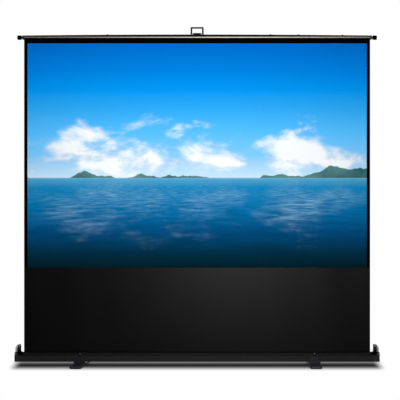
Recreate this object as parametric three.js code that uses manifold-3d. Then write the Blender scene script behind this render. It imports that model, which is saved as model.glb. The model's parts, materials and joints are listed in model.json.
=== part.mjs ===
// A floor-rising projection screen, raised. Millimetres, +Z up, +X to the right as seen from the front.
// The front faces -Y, and the origin is on the floor under the middle of the case.
import * as THREE from "three";
import { mergeVertices } from "three/addons/utils/BufferGeometryUtils.js";
import Module from "manifold-3d";

// Clearances
const GAP = 0.3; // between pieces that touch
const OVERCUT = 1; // how far a cutting shape reaches past the face that it cuts
const OPEN_PIVOT_CLEARANCE = 1.2; // round the pin of the linkage's open pivot

// The cloth: the picture area is 100 inches across its diagonal
const CLOTH = { halfWidth: 1080.5, y: -17, thickness: 0.6, top: 2058, lowerEnd: 57.75 };

// The case, a long low box with a slot along its top
const CASE = { halfLength: 1135.5, capWidth: 34.5, halfDepth: 66, bottom: 28.5, top: 85, wall: 2.5 };
const SHOULDER = 7; // how far the covers round over at front and back
const GROOVE = { bottom: 66, top: 70, depth: 2.8 }; // the shadow line between base and covers
const COVER_LIP = { bottom: 62, thickness: 1.7 }; // slides down inside the base's walls
const SLOT = { front: -20.5, rear: 34.8, hemDrop: 6 };
const SHELF = { innerEnd: 1080.9, top: 78.5, thickness: 2.2, edge: 2 }; // low inner part of an end cap
const HORN = { inner: 1104.7, top: 129, halfDepth: 33, cornerLength: 18, cornerHeight: 26, round: 15 };
const POCKET = { halfDepth: 15.5, floor: 76, length: 27.6 }; // takes the bar's end knob

// The top bar, a channel that is open below and closes the case as its lid
const BAR = { halfLength: 1080.9, front: -27, rear: 37, bottom: 2043.4, top: 2061.5, wall: 2 };
const BAR_CROWN = { rise: 6, above: 2055 }; // the top stands higher in the middle of the bar than at its ends
const BAR_SLOPE = 5; // how far the front edge leans back above the plain face
const BAR_CORNER = 2;
const BAR_STEPS = 16;
const BAR_MIDDLE_Y = (BAR.front + BAR.rear) / 2;
const BAR_CAP = { length: 10.8, below: 5 }; // reaches below the bar, over the shelf
const KNOB = { radius: 14, neckRadius: 6, neckLength: 6, length: 26.7, z: 2050, rim: 3, chamfer: 1 };
const CLAMP_STRIP = { fromBottom: 3.5, thickness: 3 };

// The two-stage scissor that carries the bar
const ARM = { length: 1500, halfWidth: 10, thickness: 6, frontLayer: 4, rearLayer: 11 };
const FIXED_BRACKET = { halfLength: 16, taper: 6, pastPin: 10, thickness: 5 };
const FLANGE = { reach: 7, thickness: 2.5 };
const LOWER_BRACKET_FRONT = -5.5;
const UPPER_BRACKET_FRONT = 21.5;
const RAISED_ANGLE = THREE.MathUtils.degToRad(41.8);
const LOWER_PIVOT_Z = 45;
const SPAN = ARM.length * Math.cos(RAISED_ANGLE);
const RISE = ARM.length * Math.sin(RAISED_ANGLE);
const LEFT_X = -SPAN / 2;
const RIGHT_X = SPAN / 2;
const ELBOW_Z = LOWER_PIVOT_Z + RISE;
const UPPER_PIVOT_Z = LOWER_PIVOT_Z + 2 * RISE;
const PIN = { radius: 5, headRadius: 7, headThickness: 2.4 };

// Sliders, their rods and the lift spring
const ROD = { radius: 4, lowerY: 28, upperY: -5 };
const LOWER_ROD = { z: 57, left: 521, right: 1096 };
const UPPER_ROD = { z: UPPER_PIVOT_Z + 10.6, left: 521, right: 993 };
const ROD_PLATE = { thickness: 4, inset: 4, aboveRod: 8, abovePin: 4 };
const SLIDER = { halfLength: 16, belowPin: 8, aboveRod: 5, corner: 2 };
const LOWER_SLIDER_DEPTH = { front: 21, rear: 35 };
const UPPER_SLIDER_DEPTH = { front: -10, rear: 0 };
const SPRING = { outer: 7.3, inner: 5 };

// The roller and its drive
const ROLLER = { y: -38, z: 57.75, outer: 18, inner: 16.5, halfLength: 1088 };
const WOUND_CLOTH = { inner: 18.4, outer: 20.2 };
const MOTOR = { head: 17.4, headLength: 8, body: 15, length: 480 };
const DRIVE_WHEEL = { width: 16, radius: 16.2 };
const IDLER = { plugLength: 18, shaftRadius: 5, shaftLength: 10 };
const ROLLER_PLATE = { thickness: 3.4, halfWidth: 21, bottom: 31.5, top: 75.5 };

// Power panel on the case's back, near its left end
const PANEL = { x: -1040, z: 49.5, halfWidth: 46, halfHeight: 16, thickness: 2.5, corner: 3 };
const INLET = { offset: -20, width: 30, height: 22, depth: 24 };
const SOCKET = { width: 24, height: 16, depth: 17 };
const INLET_PIN = { width: 2, height: 4.5, length: 12, spread: 7, middleDrop: 3 };
const ROCKER = { offset: 22, halfWidth: 6.5, halfHeight: 9.5, reach: 5.5, dip: 1.5 };
const ROCKER_BACK = { depth: 6, halfHeight: 5 };
const ROCKER_SLOT = { halfWidth: 7.5, halfHeight: 12 };
const PANEL_HOLE = { halfWidth: 38, halfHeight: 12.6 };
const BOARD = { left: -960, length: 150, bottom: 38, height: 38, y: 58, thickness: 1.6 };

// Pull handle on top of the bar
const HANDLE = { halfWidth: 41, top: 2116, strip: 8.5, depth: 7, pivotZ: 2074, cornerRadius: 5 };
const SADDLE = { halfLength: 23.5, halfDepth: 13, height: 10.7, slope: 3 };
const TRUNNION = { radius: 2.2, reach: 42.5, sides: 12 };

// Feet, which swivel under the case
const FOOT = { x: 731, width: 71, length: 428, bottom: 2.5, thickness: 13.5, corner: 12, hubRadius: 22 };
const LEFT_FOOT_TURN = THREE.MathUtils.degToRad(-4.5);
const PAD = { width: 56, length: 46, fromMiddle: 187, corner: 6 };
const BRACKET = { halfWidth: 36, thickness: 2.5, rear: 40, underCase: 0.3, aboveFoot: 0.6 };
const TAB = { top: 81, halfTop: 19, corner: 9, straightTo: 38 }; // the bracket's upright, narrower at its top
const FOOT_BOLT = { radius: 6, headRadius: 10, headHeight: 3.2, recess: 4.2, top: 40 };
const FOOT_SCREW = { radius: 3, headRadius: 12.5, headLength: 7, crown: 2, short: 0.2, z: 75 };

// Counts of sides on round pieces
const ROUND = 24;
const SMALL_ROUND = 16;

// Finishes
const FINISHES = {
  powderBlack: { color: 0x1d1e20, roughness: 0.55, metalness: 0.2 },
  satinBlack: { color: 0x26282b, roughness: 0.38, metalness: 0.4 },
  mouldedBlack: { color: 0x17181a, roughness: 0.6, metalness: 0 },
  tabBlue: { color: 0x262c36, roughness: 0.5, metalness: 0.3 },
  handleGrey: { color: 0x3c3e3e, roughness: 0.45, metalness: 0.4 },
  zinc: { color: 0xa9adb0, roughness: 0.35, metalness: 0.9 },
  armBlack: { color: 0x2b2d30, roughness: 0.45, metalness: 0.6 },
  aluminium: { color: 0xb9bcc0, roughness: 0.4, metalness: 0.9 },
  springSteel: { color: 0x6f7276, roughness: 0.35, metalness: 0.9 },
  cloth: { color: 0xe8e9ea, roughness: 0.95, metalness: 0 },
  clothBlack: { color: 0x101012, roughness: 0.95, metalness: 0 },
  boardGreen: { color: 0x1f5a3a, roughness: 0.5, metalness: 0.1 },
  rubber: { color: 0x141414, roughness: 0.9, metalness: 0 },
};

const wasm = await Module();
wasm.setup();
const screen = new THREE.Group();

// Adds one named mesh to the screen and hands it back to be placed
function piece(name, geometry, finish) {
  const mesh = new THREE.Mesh(geometry, new THREE.MeshStandardMaterial(FINISHES[finish]));
  mesh.name = name;
  screen.add(mesh);
  return mesh;
}

// A geometry as a solid that can be joined and cut
function solid(geometry) {
  const bare = new THREE.BufferGeometry();
  const loose = geometry.index ? geometry.toNonIndexed() : geometry;
  bare.setAttribute("position", loose.getAttribute("position"));
  const merged = mergeVertices(bare, 1e-4);
  const vertProperties = new Float32Array(merged.getAttribute("position").array);
  const triVerts = new Uint32Array(merged.index.array);
  return new wasm.Manifold(new wasm.Mesh({ numProp: 3, vertProperties, triVerts }));
}

// A solid back as a geometry
function geometryOf(body) {
  const mesh = body.getMesh();
  const geometry = new THREE.BufferGeometry();
  geometry.setAttribute("position", new THREE.BufferAttribute(mesh.vertProperties, 3));
  geometry.setIndex(new THREE.BufferAttribute(mesh.triVerts, 1));
  geometry.computeVertexNormals();
  return geometry;
}

// A box from its low corner to its high corner
function box(low, high) {
  const size = high.map((value, axis) => value - low[axis]);
  const geometry = new THREE.BoxGeometry(...size);
  return geometry.translate(...low.map((value, axis) => value + size[axis] / 2));
}

// A round bar along one axis, from one place on that axis to another
function roundBar(axis, radius, from, to, across, sides = SMALL_ROUND) {
  const geometry = new THREE.CylinderGeometry(radius, radius, to - from, sides);
  const middle = (from + to) / 2;
  if (axis === "x") return geometry.rotateZ(-Math.PI / 2).translate(middle, ...across);
  if (axis === "y") return geometry.translate(across[0], middle, across[1]);
  return geometry.rotateX(Math.PI / 2).translate(...across, middle);
}

// A turned piece: [radius, place along the axis] points, closed at the axis or on itself
function turned(axis, profile, across, sides = ROUND) {
  const points = profile.map(([radius, along]) => new THREE.Vector2(radius, along));
  const geometry = new THREE.LatheGeometry(points, sides);
  if (axis === "x") return geometry.rotateZ(-Math.PI / 2).translate(0, ...across);
  if (axis === "y") return geometry.translate(across[0], 0, across[1]);
  return geometry.rotateX(Math.PI / 2).translate(...across, 0);
}

// A section drawn in Y and Z, drawn out along X
function alongX(section, from, to, steps = 1, curveSegments = 4) {
  const options = { depth: to - from, steps, bevelEnabled: false, curveSegments };
  const turn = new THREE.Matrix4().makeBasis(
    new THREE.Vector3(0, 1, 0),
    new THREE.Vector3(0, 0, 1),
    new THREE.Vector3(1, 0, 0),
  );
  return new THREE.ExtrudeGeometry(section, options).applyMatrix4(turn).translate(from, 0, 0);
}

// An outline drawn in X and Z, drawn out along Y
function alongY(outline, from, to, curveSegments = 8) {
  const options = { depth: to - from, bevelEnabled: false, curveSegments };
  return new THREE.ExtrudeGeometry(outline, options).rotateX(Math.PI / 2).translate(0, to, 0);
}

// An outline drawn in X and Y, drawn out along Z
function alongZ(outline, from, to, curveSegments = 4) {
  const options = { depth: to - from, bevelEnabled: false, curveSegments };
  return new THREE.ExtrudeGeometry(outline, options).translate(0, 0, from);
}

// A closed outline through corner points
function polygon(points) {
  return new THREE.Shape(points.map(([across, up]) => new THREE.Vector2(across, up)));
}

// A round hole in an outline
function roundHole(across, up, radius) {
  return new THREE.Path().absarc(across, up, radius, 0, 2 * Math.PI, true);
}

// A rectangle with round corners
function roundedRectangle(left, bottom, right, top, radius) {
  const shape = new THREE.Shape();
  shape.moveTo(left + radius, bottom);
  shape.lineTo(right - radius, bottom);
  shape.absarc(right - radius, bottom + radius, radius, -Math.PI / 2, 0);
  shape.lineTo(right, top - radius);
  shape.absarc(right - radius, top - radius, radius, 0, Math.PI / 2);
  shape.lineTo(left + radius, top);
  shape.absarc(left + radius, top - radius, radius, Math.PI / 2, Math.PI);
  shape.lineTo(left, bottom + radius);
  shape.absarc(left + radius, bottom + radius, radius, Math.PI, 1.5 * Math.PI);
  return shape;
}

// How far the bar's top stands above its ends at one place along it
function crownAt(x) {
  return BAR_CROWN.rise * (1 - (x / BAR.halfLength) ** 2);
}

// Lifts the upper part of a geometry to the bar's crown
function crowned(geometry) {
  const position = geometry.getAttribute("position");
  for (let i = 0; i < position.count; i += 1) {
    const z = position.getZ(i);
    if (z > BAR_CROWN.above) position.setZ(i, z + crownAt(position.getX(i)));
  }
  return geometry;
}

// The case's inner end, where its long pieces stop short of the end caps
const CASE_INNER_END = CASE.halfLength - CASE.capWidth - GAP;

// The open-topped base: floor, front wall and back wall, with its cut-outs
function caseBase() {
  const outer = CASE.halfDepth;
  const inner = outer - CASE.wall;
  const floor = CASE.bottom + CASE.wall;
  const edge = 3;
  const section = new THREE.Shape();
  section.moveTo(-outer, GROOVE.bottom);
  section.lineTo(-outer, CASE.bottom + edge);
  section.quadraticCurveTo(-outer, CASE.bottom, -outer + edge, CASE.bottom);
  section.lineTo(outer - edge, CASE.bottom);
  section.quadraticCurveTo(outer, CASE.bottom, outer, CASE.bottom + edge);
  section.lineTo(outer, GROOVE.bottom);
  section.lineTo(inner, GROOVE.bottom);
  section.lineTo(inner, floor);
  section.lineTo(-inner, floor);
  section.lineTo(-inner, GROOVE.bottom);
  let body = solid(alongX(section, -CASE_INNER_END, CASE_INNER_END));
  const panelHole = box(
    [PANEL.x - PANEL_HOLE.halfWidth, inner - OVERCUT, PANEL.z - PANEL_HOLE.halfHeight],
    [PANEL.x + PANEL_HOLE.halfWidth, outer + OVERCUT, PANEL.z + PANEL_HOLE.halfHeight],
  );
  body = body.subtract(solid(panelHole));
  for (const x of [-FOOT.x, FOOT.x]) {
    const boltHole = roundBar("z", FOOT_BOLT.radius + GAP, CASE.bottom - OVERCUT, floor + OVERCUT, [x, 0]);
    body = body.subtract(solid(boltHole));
  }
  piece("case_base", geometryOf(body), "powderBlack");
}

// A cover over one side of the case, from its rounded shoulder to the slot.
// The front one has the holes for the feet's screws
function caseCover(name, side, slotEdge) {
  const outer = CASE.halfDepth;
  const lipOuter = outer - GROOVE.depth;
  const lipInner = lipOuter - COVER_LIP.thickness;
  const under = CASE.top - CASE.wall;
  const hem = CASE.top - SLOT.hemDrop;
  const slot = Math.abs(slotEdge);
  const hemInner = slot + CASE.wall;
  const bend = 3.5;
  const section = new THREE.Shape();
  section.moveTo(side * outer, GROOVE.top);
  section.lineTo(side * outer, CASE.top - SHOULDER);
  section.quadraticCurveTo(side * outer, CASE.top, side * (outer - SHOULDER), CASE.top);
  section.lineTo(side * slot, CASE.top);
  section.lineTo(side * slot, hem);
  section.lineTo(side * hemInner, hem);
  section.lineTo(side * hemInner, under);
  section.lineTo(side * (lipInner - bend), under);
  section.quadraticCurveTo(side * lipInner, under, side * lipInner, under - bend);
  section.lineTo(side * lipInner, COVER_LIP.bottom);
  section.lineTo(side * lipOuter, COVER_LIP.bottom);
  section.lineTo(side * lipOuter, GROOVE.top);
  const coverEnd = SHELF.innerEnd - GAP;
  let body = solid(alongX(section, -coverEnd, coverEnd));
  for (const x of side < 0 ? [-FOOT.x, FOOT.x] : []) {
    const screwPlace = [x, FOOT_SCREW.z];
    const holeEnd = -lipInner + OVERCUT;
    const screwHole = roundBar("y", FOOT_SCREW.radius + GAP, -outer - OVERCUT, holeEnd, screwPlace);
    body = body.subtract(solid(screwHole));
  }
  piece(name, geometryOf(body), "powderBlack");
}

// The low part of an end cap: a shelf between the covers' ends and the horn, with lips like the covers'
function shelf(from, to) {
  const outer = CASE.halfDepth;
  const lipOuter = outer - GROOVE.depth;
  const lipInner = lipOuter - COVER_LIP.thickness;
  const { top, thickness, edge } = SHELF;
  const frontHalf = [
    [-lipInner, top - thickness],
    [-lipInner, COVER_LIP.bottom],
    [-lipOuter, COVER_LIP.bottom],
    [-lipOuter, GROOVE.top],
    [-outer, GROOVE.top],
    [-outer, top - edge],
    [-outer + edge, top],
  ];
  const rearHalf = frontHalf.map(([y, z]) => [-y, z]).reverse();
  return alongX(polygon([...frontHalf, ...rearHalf]), from, to);
}

// An end cap with a horn that takes the bar's end knob when the screen is down
function endCap(name, side) {
  const outer = CASE.halfDepth;
  const edge = 3;
  const section = new THREE.Shape();
  section.moveTo(-outer + edge, CASE.bottom);
  section.lineTo(outer - edge, CASE.bottom);
  section.quadraticCurveTo(outer, CASE.bottom, outer, CASE.bottom + edge);
  section.lineTo(outer, CASE.top - SHOULDER);
  section.quadraticCurveTo(outer, CASE.top, outer - SHOULDER, CASE.top);
  section.lineTo(-outer + SHOULDER, CASE.top);
  section.quadraticCurveTo(-outer, CASE.top, -outer, CASE.top - SHOULDER);
  section.lineTo(-outer, CASE.bottom + edge);
  section.quadraticCurveTo(-outer, CASE.bottom, -outer + edge, CASE.bottom);
  const innerX = CASE.halfLength - CASE.capWidth;
  const hornFoot = CASE.top - SHOULDER - OVERCUT;
  const { cornerLength, cornerHeight, halfDepth, round } = HORN;
  const cornerX = CASE.halfLength - cornerLength;
  const cornerZ = HORN.top - cornerHeight;
  const horn = new THREE.Shape();
  horn.moveTo(innerX, hornFoot);
  horn.lineTo(CASE.halfLength, hornFoot);
  horn.lineTo(CASE.halfLength, cornerZ);
  horn.absellipse(cornerX, cornerZ, cornerLength, cornerHeight, 0, Math.PI / 2);
  horn.lineTo(innerX, HORN.top);
  const pocket = box(
    [innerX - OVERCUT, BAR_MIDDLE_Y - POCKET.halfDepth, POCKET.floor],
    [innerX + POCKET.length, BAR_MIDDLE_Y + POCKET.halfDepth, HORN.top + OVERCUT],
  );
  const plan = new THREE.Shape();
  plan.moveTo(innerX - OVERCUT, BAR_MIDDLE_Y - halfDepth);
  plan.absarc(CASE.halfLength - round, BAR_MIDDLE_Y - halfDepth + round, round, -Math.PI / 2, 0);
  plan.absarc(CASE.halfLength - round, BAR_MIDDLE_Y + halfDepth - round, round, 0, Math.PI / 2);
  plan.lineTo(innerX - OVERCUT, BAR_MIDDLE_Y + halfDepth);
  const step = box(
    [innerX - OVERCUT, -outer - OVERCUT, SHELF.top],
    [HORN.inner, outer + OVERCUT, HORN.top + OVERCUT],
  );
  const block = solid(alongX(section, innerX, CASE.halfLength));
  const upright = solid(alongY(horn, BAR_MIDDLE_Y - halfDepth, BAR_MIDDLE_Y + halfDepth));
  const rounded = upright.intersect(solid(alongZ(plan, hornFoot - OVERCUT, HORN.top + OVERCUT, 8)));
  const low = solid(shelf(SHELF.innerEnd, innerX + OVERCUT));
  let body = block.add(rounded).subtract(solid(step)).add(low).subtract(solid(pocket));
  if (side < 0) body = body.mirror([1, 0, 0]);
  piece(name, geometryOf(body), "mouldedBlack");
}

// The roller tube with the wound cloth on it
function roller() {
  const { y, z, outer, inner, halfLength } = ROLLER;
  const tube = [
    [inner, -halfLength],
    [outer, -halfLength],
    [outer, halfLength],
    [inner, halfLength],
    [inner, -halfLength],
  ];
  piece("roller_tube", turned("x", tube, [y, z]), "aluminium");
  const wound = [
    [WOUND_CLOTH.inner, -CLOTH.halfWidth],
    [WOUND_CLOTH.outer, -CLOTH.halfWidth],
    [WOUND_CLOTH.outer, CLOTH.halfWidth],
    [WOUND_CLOTH.inner, CLOTH.halfWidth],
    [WOUND_CLOTH.inner, -CLOTH.halfWidth],
  ];
  piece("wound_cloth", turned("x", wound, [y, z]), "clothBlack");
}

// The tubular motor inside the roller's left end, with its bracket and drive wheel
function motor() {
  const across = [ROLLER.y, ROLLER.z];
  const plateOuter = -CASE_INNER_END + GAP;
  const plateInner = plateOuter + ROLLER_PLATE.thickness;
  const headStart = plateInner + GAP;
  const headEnd = headStart + MOTOR.headLength;
  const bodyEnd = headEnd + MOTOR.length;
  const profile = [
    [0, headStart],
    [MOTOR.head, headStart],
    [MOTOR.head, headEnd],
    [MOTOR.body, headEnd],
    [MOTOR.body, bodyEnd],
    [0, bodyEnd],
  ];
  piece("tubular_motor", turned("x", profile, across), "powderBlack");
  const wheelStart = bodyEnd + GAP;
  const wheel = roundBar("x", DRIVE_WHEEL.radius, wheelStart, wheelStart + DRIVE_WHEEL.width, across, ROUND);
  piece("motor_drive_wheel", wheel, "mouldedBlack");
  const plate = rollerPlate(plateOuter, plateInner);
  piece("motor_bracket", plate, "zinc");
}

// A plate that stands on the case's floor at one end of the roller
function rollerPlate(from, to) {
  return box(
    [from, ROLLER.y - ROLLER_PLATE.halfWidth, ROLLER_PLATE.bottom],
    [to, ROLLER.y + ROLLER_PLATE.halfWidth, ROLLER_PLATE.top],
  );
}

// The plug and stub shaft in the roller's right end, and the plate that carries it
function idler() {
  const across = [ROLLER.y, ROLLER.z];
  const plateOuter = CASE_INNER_END - GAP;
  const plateInner = plateOuter - ROLLER_PLATE.thickness;
  const plugStart = ROLLER.halfLength - IDLER.plugLength;
  const shaftEnd = ROLLER.halfLength + IDLER.shaftLength;
  const profile = [
    [0, plugStart],
    [DRIVE_WHEEL.radius, plugStart],
    [DRIVE_WHEEL.radius, ROLLER.halfLength],
    [IDLER.shaftRadius, ROLLER.halfLength],
    [IDLER.shaftRadius, shaftEnd],
    [0, shaftEnd],
  ];
  piece("idler_plug", turned("x", profile, across), "mouldedBlack");
  const boreRadius = IDLER.shaftRadius + GAP;
  const bore = roundBar("x", boreRadius, plateInner - OVERCUT, plateOuter + OVERCUT, across, ROUND);
  const plate = solid(rollerPlate(plateInner, plateOuter)).subtract(solid(bore));
  piece("idler_bracket", geometryOf(plate), "zinc");
}

// The cloth, stretched flat between the roller and the bar
function cloth() {
  const low = [-CLOTH.halfWidth, CLOTH.y - CLOTH.thickness / 2, CLOTH.lowerEnd];
  const high = [CLOTH.halfWidth, CLOTH.y + CLOTH.thickness / 2, CLOTH.top];
  piece("screen_cloth", box(low, high), "cloth");
}

// The bar's outline at its straight ends, down to one height
function barOutline(bottom) {
  return [
    [BAR.front, bottom],
    [BAR.rear, bottom],
    [BAR.rear, BAR.top - BAR_CORNER],
    [BAR.rear - BAR_CORNER, BAR.top],
    [BAR.front + BAR_SLOPE, BAR.top],
    [BAR.front, BAR_CROWN.above],
  ];
}

// The top bar: a crowned channel, with the strip that clamps the cloth inside it
function topBar() {
  const roof = BAR.top - BAR.wall;
  const section = polygon([
    [BAR.front, BAR.bottom],
    [BAR.front + BAR.wall, BAR.bottom],
    [BAR.front + BAR.wall, BAR_CROWN.above],
    [BAR.front + BAR.wall + BAR_SLOPE, roof],
    [BAR.rear - BAR.wall, roof],
    [BAR.rear - BAR.wall, BAR.bottom],
    ...barOutline(BAR.bottom).slice(1),
  ]);
  const channel = crowned(alongX(section, -BAR.halfLength, BAR.halfLength, BAR_STEPS));
  piece("top_bar", channel, "satinBlack");
  const stripFront = CLOTH.y + CLOTH.thickness / 2 + GAP;
  const stripBottom = BAR.bottom + CLAMP_STRIP.fromBottom;
  const stripSection = polygon([
    [stripFront, stripBottom],
    [stripFront + CLAMP_STRIP.thickness, stripBottom],
    [stripFront + CLAMP_STRIP.thickness, roof - GAP],
    [stripFront, roof - GAP],
  ]);
  const strip = crowned(alongX(stripSection, -CLOTH.halfWidth, CLOTH.halfWidth, BAR_STEPS));
  piece("cloth_clamp_strip", strip, "aluminium");
}

// A cap on one end of the bar, and the round knob on it that drops into the horn
function barEnd(side, word) {
  const capStart = BAR.halfLength + GAP;
  const capEnd = capStart + BAR_CAP.length;
  const headStart = capEnd + GAP + KNOB.neckLength;
  const headEnd = headStart + KNOB.length;
  let cap = solid(alongX(polygon(barOutline(BAR.bottom - BAR_CAP.below)), capStart, capEnd));
  const profile = [
    [0, capEnd + GAP],
    [KNOB.neckRadius, capEnd + GAP],
    [KNOB.neckRadius, headStart],
    [KNOB.radius - KNOB.chamfer, headStart],
    [KNOB.radius, headStart + KNOB.chamfer],
    [KNOB.radius, headEnd - KNOB.rim],
    [KNOB.radius - KNOB.rim, headEnd],
    [0, headEnd],
  ];
  let knob = solid(turned("x", profile, [BAR_MIDDLE_Y, KNOB.z]));
  if (side < 0) {
    cap = cap.mirror([1, 0, 0]);
    knob = knob.mirror([1, 0, 0]);
  }
  piece(`bar_end_cap_${word}`, geometryOf(cap), "mouldedBlack");
  piece(`end_knob_${word}`, geometryOf(knob), "mouldedBlack");
}

// One arm: a flat bar with round ends and a hole at each end and in the middle
function arm(name, startZ, lean, layer, middleClearance) {
  const half = ARM.halfWidth;
  const hole = PIN.radius + GAP;
  const outline = new THREE.Shape();
  outline.absarc(0, 0, half, Math.PI / 2, 1.5 * Math.PI);
  outline.absarc(ARM.length, 0, half, -Math.PI / 2, Math.PI / 2);
  outline.holes.push(roundHole(0, 0, hole));
  outline.holes.push(roundHole(ARM.length / 2, 0, PIN.radius + middleClearance));
  outline.holes.push(roundHole(ARM.length, 0, hole));
  const mesh = piece(name, alongY(outline, layer, layer + ARM.thickness), "armBlack");
  mesh.position.set(LEFT_X, 0, startZ);
  mesh.rotation.y = lean;
}

// The four arms: front layer leaning up to the right, rear layer up to the left
function arms() {
  arm("lower_front_arm", LOWER_PIVOT_Z, -RAISED_ANGLE, ARM.frontLayer, GAP);
  arm("lower_rear_arm", ELBOW_Z, RAISED_ANGLE, ARM.rearLayer, GAP);
  arm("upper_front_arm", ELBOW_Z, -RAISED_ANGLE, ARM.frontLayer, GAP);
  arm("upper_rear_arm", UPPER_PIVOT_Z, RAISED_ANGLE, ARM.rearLayer, OPEN_PIVOT_CLEARANCE);
}

// A pivot pin along Y with a head at each end
function pin(name, x, z, front, rear) {
  const headFront = front - PIN.headThickness;
  const headRear = rear + PIN.headThickness;
  const profile = [
    [0, headFront],
    [PIN.headRadius, headFront],
    [PIN.headRadius, front],
    [PIN.radius, front],
    [PIN.radius, rear],
    [PIN.headRadius, rear],
    [PIN.headRadius, headRear],
    [0, headRear],
  ];
  piece(name, turned("y", profile, [x, z], SMALL_ROUND), "zinc");
}

// Fixed brackets that carry the left ends of the scissor, one on the floor and one under the bar's roof
function fixedBrackets() {
  const { halfLength, taper, pastPin, thickness } = FIXED_BRACKET;
  const floor = CASE.bottom + CASE.wall + GAP;
  const low = polygon([
    [LEFT_X - halfLength, floor],
    [LEFT_X + halfLength, floor],
    [LEFT_X + halfLength - taper, LOWER_PIVOT_Z + pastPin],
    [LEFT_X - halfLength + taper, LOWER_PIVOT_Z + pastPin],
  ]);
  low.holes.push(roundHole(LEFT_X, LOWER_PIVOT_Z, PIN.radius + GAP));
  const lowPlate = solid(alongY(low, LOWER_BRACKET_FRONT, LOWER_BRACKET_FRONT + thickness));
  const lowFlange = box(
    [LEFT_X - halfLength, LOWER_BRACKET_FRONT - FLANGE.reach, floor],
    [LEFT_X + halfLength, LOWER_BRACKET_FRONT + OVERCUT, floor + FLANGE.thickness],
  );
  piece("lower_fixed_bracket", geometryOf(lowPlate.add(solid(lowFlange))), "zinc");

  const roof = BAR.top - BAR.wall + crownAt(LEFT_X - halfLength) - GAP;
  const high = polygon([
    [LEFT_X - halfLength + taper, UPPER_PIVOT_Z - pastPin],
    [LEFT_X + halfLength - taper, UPPER_PIVOT_Z - pastPin],
    [LEFT_X + halfLength, roof],
    [LEFT_X - halfLength, roof],
  ]);
  high.holes.push(roundHole(LEFT_X, UPPER_PIVOT_Z, PIN.radius + GAP));
  const highPlate = solid(alongY(high, UPPER_BRACKET_FRONT, UPPER_BRACKET_FRONT + thickness));
  const highFlange = box(
    [LEFT_X - halfLength, UPPER_BRACKET_FRONT + OVERCUT, roof - FLANGE.thickness],
    [LEFT_X + halfLength, UPPER_BRACKET_FRONT + thickness + FLANGE.reach, roof],
  );
  piece("upper_fixed_bracket", geometryOf(highPlate.add(solid(highFlange))), "zinc");
}

// The eight pivot pins
function pins() {
  const front = ARM.frontLayer - GAP;
  const rear = ARM.rearLayer + ARM.thickness + GAP;
  const frontBack = ARM.frontLayer + ARM.thickness + GAP;
  const rearFront = ARM.rearLayer - GAP;
  const bracketRear = UPPER_BRACKET_FRONT + FIXED_BRACKET.thickness + GAP;
  pin("lower_cross_pin", 0, LOWER_PIVOT_Z + RISE / 2, front, rear);
  pin("upper_cross_pin", 0, ELBOW_Z + RISE / 2, front, rear);
  pin("left_elbow_pin", LEFT_X, ELBOW_Z, front, rear);
  pin("right_elbow_pin", RIGHT_X, ELBOW_Z, front, rear);
  pin("lower_fixed_pin", LEFT_X, LOWER_PIVOT_Z, LOWER_BRACKET_FRONT - GAP, frontBack);
  pin("upper_fixed_pin", LEFT_X, UPPER_PIVOT_Z, rearFront, bracketRear);
  pin("lower_slider_pin", RIGHT_X, LOWER_PIVOT_Z, rearFront, LOWER_SLIDER_DEPTH.rear + GAP);
  pin("upper_slider_pin", RIGHT_X, UPPER_PIVOT_Z, UPPER_SLIDER_DEPTH.front - GAP, frontBack);
}

// A block with one bore for its pivot pin and one for the rod that it slides on
function sliderBlock(name, pinZ, rodY, rodZ, depth) {
  const { halfLength, belowPin, aboveRod, corner } = SLIDER;
  const left = RIGHT_X - halfLength;
  const right = RIGHT_X + halfLength;
  const outline = roundedRectangle(left, pinZ - belowPin, right, rodZ + aboveRod, corner);
  outline.holes.push(roundHole(RIGHT_X, pinZ, PIN.radius + GAP));
  const bore = roundBar("x", ROD.radius + GAP, left - OVERCUT, right + OVERCUT, [rodY, rodZ]);
  const body = solid(alongY(outline, depth.front, depth.rear)).subtract(solid(bore));
  piece(name, geometryOf(body), "mouldedBlack");
}

// A plate across a rod's end, with a bore for the rod
function rodPlate(name, x, rodY, rodZ, depth, bottom, top) {
  const section = polygon([
    [depth.front, bottom],
    [depth.rear, bottom],
    [depth.rear, top],
    [depth.front, top],
  ]);
  section.holes.push(roundHole(rodY, rodZ, ROD.radius + GAP));
  const half = ROD_PLATE.thickness / 2;
  piece(name, alongX(section, x - half, x + half, 1, 8), "zinc");
}

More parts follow.
